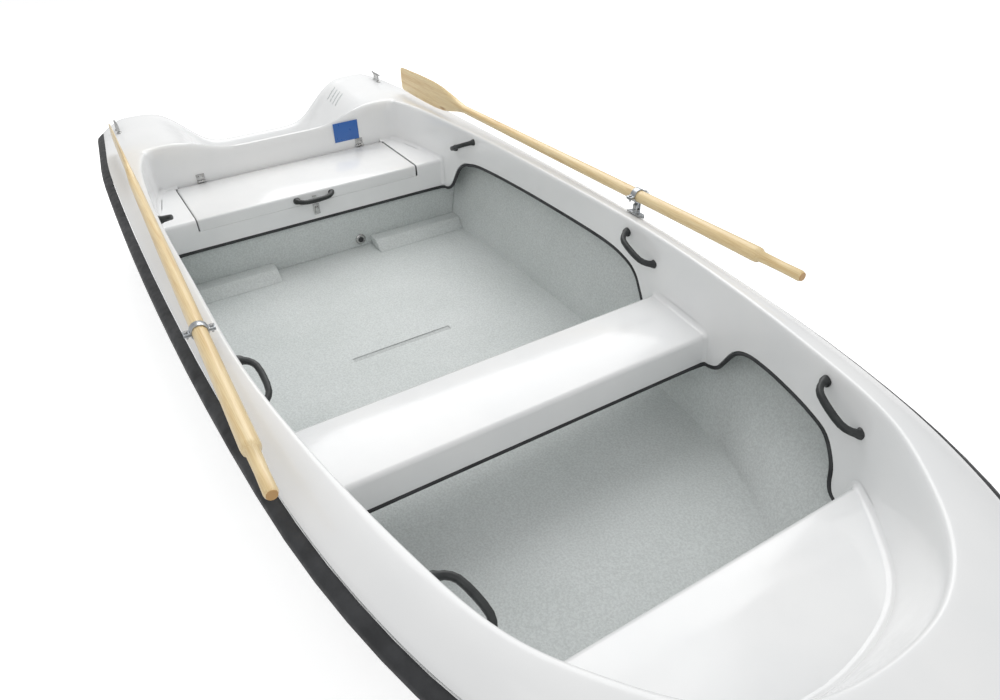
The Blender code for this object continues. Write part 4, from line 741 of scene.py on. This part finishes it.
def build_coves():
    seams = port_seams()
    for label, path in seams.items():
        cove(f"fillet_{label}_port", path)
    for label, path in seams.items():
        cove(f"fillet_{label}_starboard", [tuple(flip(vector) for vector in stop) for stop in path])


# Hardware

def shade_group(angle):
    """Geometry nodes that shade smooth and keep the edges over an angle sharp."""
    name = f"shade_{angle}"
    if name in bpy.data.node_groups:
        return bpy.data.node_groups[name]
    group = bpy.data.node_groups.new(name, "GeometryNodeTree")
    for way in ("INPUT", "OUTPUT"):
        group.interface.new_socket("Geometry", in_out=way, socket_type="NodeSocketGeometry")
    new = group.nodes.new
    start, end = new("NodeGroupInput"), new("NodeGroupOutput")
    faces, edges = new("GeometryNodeSetShadeSmooth"), new("GeometryNodeSetShadeSmooth")
    faces.domain, edges.domain = "FACE", "EDGE"
    faces.inputs["Shade Smooth"].default_value = True
    edges.inputs["Shade Smooth"].default_value = False
    turn, over = new("GeometryNodeInputMeshEdgeAngle"), new("FunctionNodeCompare")
    over.operation = "GREATER_THAN"
    over.inputs["B"].default_value = math.radians(angle)
    link = group.links.new
    link(start.outputs[0], faces.inputs["Geometry"])
    link(faces.outputs[0], edges.inputs["Geometry"])
    link(turn.outputs["Unsigned Angle"], over.inputs["A"])
    link(over.outputs[0], edges.inputs["Selection"])
    link(edges.outputs[0], end.inputs[0])
    return group


def smooth_node(node, look, angle=40, bevel=0.0, levels=0):
    """A carried-over node: welded, perhaps bevelled or subdivided, smooth and with its look."""
    made = NODES[node]
    made.data.materials.clear()
    made.data.materials.append(look)
    weld = made.modifiers.new("weld", "WELD")
    weld.merge_threshold = NODE_WELD
    if bevel:
        step = made.modifiers.new("bevel", "BEVEL")
        step.width, step.segments, step.limit_method = bevel, 2, "ANGLE"
        step.angle_limit = math.radians(35)
    if levels:
        step = made.modifiers.new("soften", "SUBSURF")
        step.levels = step.render_levels = levels
    step = made.modifiers.new("shade", "NODES")
    step.node_group = shade_group(angle)


def screw_head(mesh_data, place, radius, height):
    """A raised countersunk head with a cross recess, added to a mesh."""
    sides = 20
    rows = []
    for share, level in ((1.0, -0.3), (1.0, 0.15), (0.86, 0.62), (0.55, 0.92), (0.2, 1.0)):
        reach = radius * share
        ring = []
        for step in range(sides):
            angle = 2 * math.pi * step / sides
            near = abs((angle + math.pi / 4) % (math.pi / 2) - math.pi / 4)
            cross = share < CROSS_REACH and near < CROSS_HALF_ANGLE
            z = height * (level - (CROSS_DEPTH if cross else 0.0))
            ring.append(place @ Vector((reach * math.cos(angle), reach * math.sin(angle), z)))
        rows.append(ring)
    loft(rows, mesh_data)


def hex_head(mesh_data, place, radius, height):
    """A hexagonal bolt head with a chamfered top, added to a mesh."""
    loft([
        oval(place, radius * share, radius * share, height * level, 6)
        for share, level in ((1.0, -0.2), (1.0, 0.8), (0.86, 1.0))], mesh_data)


def handle_frame(node):
    """A handle's frame, from its solid: Z is outward and X is along its feet, with its rise."""
    points = [Vector(vertex.co) for vertex in NODES[node].data.vertices]
    middle = sum(points, Vector()) / len(points)
    far = max(points, key=lambda p: (p - middle).length)
    other = max(points, key=lambda p: (p - far).length)
    along = (far - other).normalized()
    centre = (far + other) / 2
    grip = [p for p in points if abs((p - centre).dot(along)) < GRIP_REACH]
    feet = [p for p in points if abs((p - centre).dot(along)) > FOOT_START]
    rise = sum(grip, Vector()) / len(grip) - sum(feet, Vector()) / len(feet)
    normal = (rise - along * rise.dot(along)).normalized()
    low = min((p - centre).dot(normal) for p in points)
    high = max((p - centre).dot(normal) for p in points) - low
    return frame_at(centre + normal * low, normal, along), high


def build_handle(node, body):
    """A moulded grab handle with flat oval feet and a rounded square grip."""
    place, high = handle_frame(node)
    stops = HANDLE_STOPS + tuple((-x, z, a, b) for x, z, a, b in reversed(HANDLE_STOPS[:-1]))
    scale = high / HANDLE_TOP
    rows = []
    for index, (x, z, a, b) in enumerate(stops):
        before, after = stops[max(index - 1, 0)], stops[min(index + 1, len(stops) - 1)]
        run = Vector((after[0] - before[0], 0, after[1] - before[1])).normalized()
        if index < 2 or index > len(stops) - 3:
            run = Vector((0, 0, 1 if x < 0 else -1))
        out = Vector((run.z, 0, -run.x))
        ring = []
        for step in range(HANDLE_SIDES):
            angle = 2 * math.pi * step / HANDLE_SIDES
            c, s = (
                math.copysign(abs(value) ** HANDLE_SQUARENESS, value)
                for value in (math.cos(angle), math.sin(angle)))
            spot = Vector((x, 0, z)) + out * a * c + Vector((0, b * s, 0))
            ring.append(place @ (spot * scale))
        rows.append(ring)
    made = piece(f"{node}_moulded", tidy(loft(rows)), PLASTIC, body, 50)
    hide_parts(node)
    screws = bmesh.new()
    for side in (-1, 1):
        spot = place @ Matrix.Translation(
            (side * HANDLE_SCREW_ALONG * scale, 0, HANDLE_SCREW_HEIGHT * scale))
        screw_head(screws, spot @ Matrix.Rotation(side * HANDLE_SCREW_LEAN, 4, "Y"), *HANDLE_SCREW)
    piece(f"{node}_screws", tidy(screws), STEEL, body, 35)


def build_hinge_screws():
    """Two screws on each hinge plate."""
    for word in ("port", "starboard"):
        low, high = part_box(f"hinge_wall_{word}")
        screws = bmesh.new()
        y = (low.y + high.y) / 2
        for side in (-1, 1):
            spot = Vector((
                RECESS_X + GAP + HINGE_PLATE, y + side * HINGE_SCREW_SIDE,
                high.z - HINGE_SCREW_DROP))
            place = frame_at(spot, Vector((1, 0, 0)), Vector((0, 1, 0)))
            screw_head(screws, place, *HINGE_SCREW)
        piece(f"hinge_screws_{word}", tidy(screws), STEEL, smooth=35)


def build_oarlock_bolts():
    """Bolts through the ears of the clamp rings."""
    for side, word in ((1, "port"), (-1, "starboard")):
        axis = (Matrix.Translation((CLAMP_X, side * CLAMP_Y, CLAMP_HEIGHT))
                @ Matrix.Rotation(side * OAR_TURN, 4, "Z"))
        bolts = bmesh.new()
        for ear in (-1, 1):
            y = ear * EAR_SIDE
            for way, turn in ((1, 0), (-1, math.pi)):
                spot = axis @ Matrix.Translation((0, y, way * EAR_HALF))
                hex_head(bolts, spot @ Matrix.Rotation(turn, 4, "X"), *BOLT_HEAD)
            tip = axis @ Matrix.Translation((0, y, BOLT_END))
            loft([oval(tip, radius, radius, level, 12) for radius, level in BOLT_TIP], bolts)
        piece(f"clamp_bolts_{word}", tidy(bolts), STEEL, f"oar_{word}", 30)


def build_cleat_feet():
    """The flanges under the cleats' legs, with a screw in each."""
    for word in ("port", "starboard"):
        low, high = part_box(f"cleat_{word}")
        centre = (low + high) / 2
        y = abs(centre.y)
        flanges, screws = bmesh.new(), bmesh.new()
        for step in (-1, 1):
            x = centre.x + step * LEG_SIDE
            slope_x = deck_level(x - SLOPE_STEP, y) - deck_level(x + SLOPE_STEP, y)
            slope_y = deck_level(x, y - SLOPE_STEP) - deck_level(x, y + SLOPE_STEP)
            normal = Vector((slope_x, math.copysign(1, centre.y) * slope_y, 2 * SLOPE_STEP))
            place = frame_at(Vector((x, centre.y, deck_level(x, y))), normal, Vector((1, 0, 0)))
            loft([
                oval(place, FOOT_HALF_X * share, FOOT_HALF_Y * share, level, 24)
                for share, level in FOOT_STOPS], flanges)
            spot = place @ Matrix.Translation((step * FOOT_SCREW_SIDE, 0, FOOT_TOP))
            screw_head(screws, spot, *CLEAT_SCREW)
        piece(f"cleat_feet_{word}", tidy(flanges), STEEL, smooth=40)
        piece(f"cleat_screws_{word}", tidy(screws), STEEL, smooth=35)


def build_drain():
    """The dark plug in the drain's ring, and the ring's screws."""
    low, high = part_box("drain_plug")
    centre = (low + high) / 2
    spot = Vector((high.x - DRAIN_INSET, centre.y, centre.z))
    place = frame_at(spot, Vector((1, 0, 0)), Vector((0, 1, 0)))
    cap = loft([oval(place, radius, radius, level, 24) for radius, level in DRAIN_CAP])
    piece("drain_cap", tidy(cap), RUBBER, smooth=40)
    screws = bmesh.new()
    for step in range(DRAIN_SCREWS):
        angle = math.pi / 2 + step * math.pi * 2 / DRAIN_SCREWS
        offset = (
            DRAIN_SCREW_CIRCLE * math.cos(angle), DRAIN_SCREW_CIRCLE * math.sin(angle), DRAIN_INSET)
        screw_head(screws, place @ Matrix.Translation(offset), *DRAIN_SCREW)
    piece("drain_screws", tidy(screws), STEEL, smooth=35)


# What follows the soft deck

def deck_tree():
    """The soft deck's surface, to cast rays on."""
    mesh = bpy.data.objects["deck_soft"].data
    return BVHTree.FromPolygons([v.co for v in mesh.vertices], [p.vertices for p in mesh.polygons])


def build_ribs():
    """Slanted moulded ribs on the port side of the motor well, grey as painted shade."""
    tree = deck_tree()
    ribs = bmesh.new()
    for index in range(RIBS):
        rows = []
        for stop in range(RIB_STOPS):
            x, y = RIB_X + RIB_SPACING * index - RIB_SLANT * stop, RIB_LOW_Y + RIB_RUN * stop
            spot, normal, _, _ = tree.ray_cast(Vector((x, y, 1)), Vector((0, 0, -1)))
            width = RIB_WIDTH / 2 if 0 < stop < RIB_STOPS - 1 else RIB_WIDTH / 5
            across = Vector((1, 0, 0)) - normal * normal.x
            ring = []
            for side in range(RIB_SIDES):
                angle = 2 * math.pi / RIB_SIDES * side
                ring.append(
                    spot + across * width * math.cos(angle) + normal * RIB_RISE * math.sin(angle))
            rows.append(ring)
        loft(rows, ribs)
    # Grey topcoat on the ribs is painted shade on the white moulding.
    piece("well_ribs_painted_shade", tidy(ribs), GREY, smooth=60)


def build_transom_cap():
    """The bonding fillet between the transom's top edge and the deck over it."""
    tree, rows = deck_tree(), []
    aft, fore = STERN_X + CAP_INSET, STERN_X + CAP_DEPTH
    for step in range(CAP_STEPS + 1):
        y = CAP_HALF * (2 * step / CAP_STEPS - 1)
        hit = tree.ray_cast(Vector((aft + CAP_INSET, y, 1)), Vector((0, 0, -1)))[0]
        top = hit.z - DECK_SKIN / 2
        corners = ((aft, top), (fore, top), (fore, top - CAP_HEIGHT), (aft, top - CAP_HEIGHT))
        rows.append([Vector((x, y, z)) for x, z in corners])
    piece("transom_cap", tidy(loft(rows)), WHITE, smooth=40)


def dress_nodes():
    """Looks for the solids that are carried over."""
    for node in ("stern_seat", "mid_thwart", "fore_seat", "locker_lid"):
        smooth_node(node, LOOKS[WHITE], 50)
    for node in ("locker_bulkhead", "floor_step_port", "floor_step_starboard"):
        smooth_node(node, LOOKS[GREY], 30, bevel=0.004)
    smooth_node("gunwale_fender", LOOKS[RUBBER], 60)
    for node in ("trim_aft", "trim_fore"):
        smooth_node(node, LOOKS[RUBBER], 60, levels=1)
    for node in (
            "drain_plug", "bow_eye", "cleat_port", "cleat_starboard", "latch_body", "latch_catch"):
        smooth_node(node, LOOKS[STEEL])
    smooth_node("blank_plate", LOOKS[BLUE], 30)
    for side, word in ((1, "port"), (-1, "starboard")):
        smooth_node(f"oar_{word}", WOODS[side])
        for node in ("clamp_upper", "clamp_lower", "oarlock_fork", "oarlock_socket"):
            smooth_node(f"{node}_{word}", LOOKS[ZINC], bevel=0.0006)
        for node in ("hinge_wall", "hinge_lid"):
            smooth_node(f"{node}_{word}", LOOKS[STEEL], bevel=0.0005)


# Stage, light and camera

def build_floor():
    """A white floor that glows a little for the camera alone."""
    flat = bmesh.new()
    bmesh.ops.create_grid(flat, x_segments=1, y_segments=1, size=FLOOR_SIZE)
    ground = plain_object("floor", flat)
    look = Look("floor", (0.95, 0.95, 0.95), 0.9, Emission_Color=(1, 1, 1, 1))
    look.set("Base Color", look.ramp(look.noise(0.7, 2), (0.3, 0.945), (0.7, 0.955)))
    seen = look.add("ShaderNodeLightPath").outputs["Is Camera Ray"]
    glow = look.add("ShaderNodeMath", {0: seen, 1: FLOOR_GLOW}, operation="MULTIPLY")
    look.set("Emission Strength", glow.outputs[0])
    ground.data.materials.append(look.made)


def build_lights():
    """Two soft lights and an even white world."""
    for name, place, size, power in LIGHTS:
        data = bpy.data.lights.new(name, "AREA")
        data.size, data.energy = size, power
        lamp = bpy.data.objects.new(name, data)
        lamp.location = place
        lamp.rotation_mode = "QUATERNION"
        lamp.rotation_quaternion = (Vector(LIGHT_AIM) - Vector(place)).to_track_quat("-Z", "Y")
        bpy.context.scene.collection.objects.link(lamp)
    world = bpy.data.worlds.new("studio")
    bpy.context.scene.world = world
    world.use_nodes = True
    nodes, links = world.node_tree.nodes, world.node_tree.links
    back = nodes["Background"]
    rays = nodes.new("ShaderNodeLightPath")
    pick = nodes.new("ShaderNodeMix")
    pick.data_type = "FLOAT"
    pick.inputs[2].default_value, pick.inputs[3].default_value = WORLD_LIGHT, WORLD_SEEN
    links.new(rays.outputs["Is Camera Ray"], pick.inputs[0])
    links.new(pick.outputs[0], back.inputs["Strength"])
    back.inputs["Color"].default_value = (1, 1, 1, 1)
    bpy.context.scene.view_settings.view_transform = "Standard"


def build_camera():
    data = bpy.data.cameras.new("camera")
    data.lens, data.sensor_width = CAMERA_LENS, CAMERA_SENSOR
    camera = bpy.data.objects.new("camera", data)
    camera.matrix_world = frame_at(Vector(CAMERA_PLACE), Vector(CAMERA_BACK), Vector(CAMERA_RIGHT))
    bpy.context.scene.collection.objects.link(camera)
    bpy.context.scene.camera = camera


build_camera()
dress_nodes()
build_deck()
build_hull()
build_coves()
for handle in sorted(name for name in NODES if name.startswith("handle_")):
    build_handle(handle, "locker_lid" if handle == "handle_lid" else "hull")
build_hinge_screws()
build_oarlock_bolts()
build_cleat_feet()
build_drain()
build_ribs()
build_transom_cap()
build_floor()
build_lights()
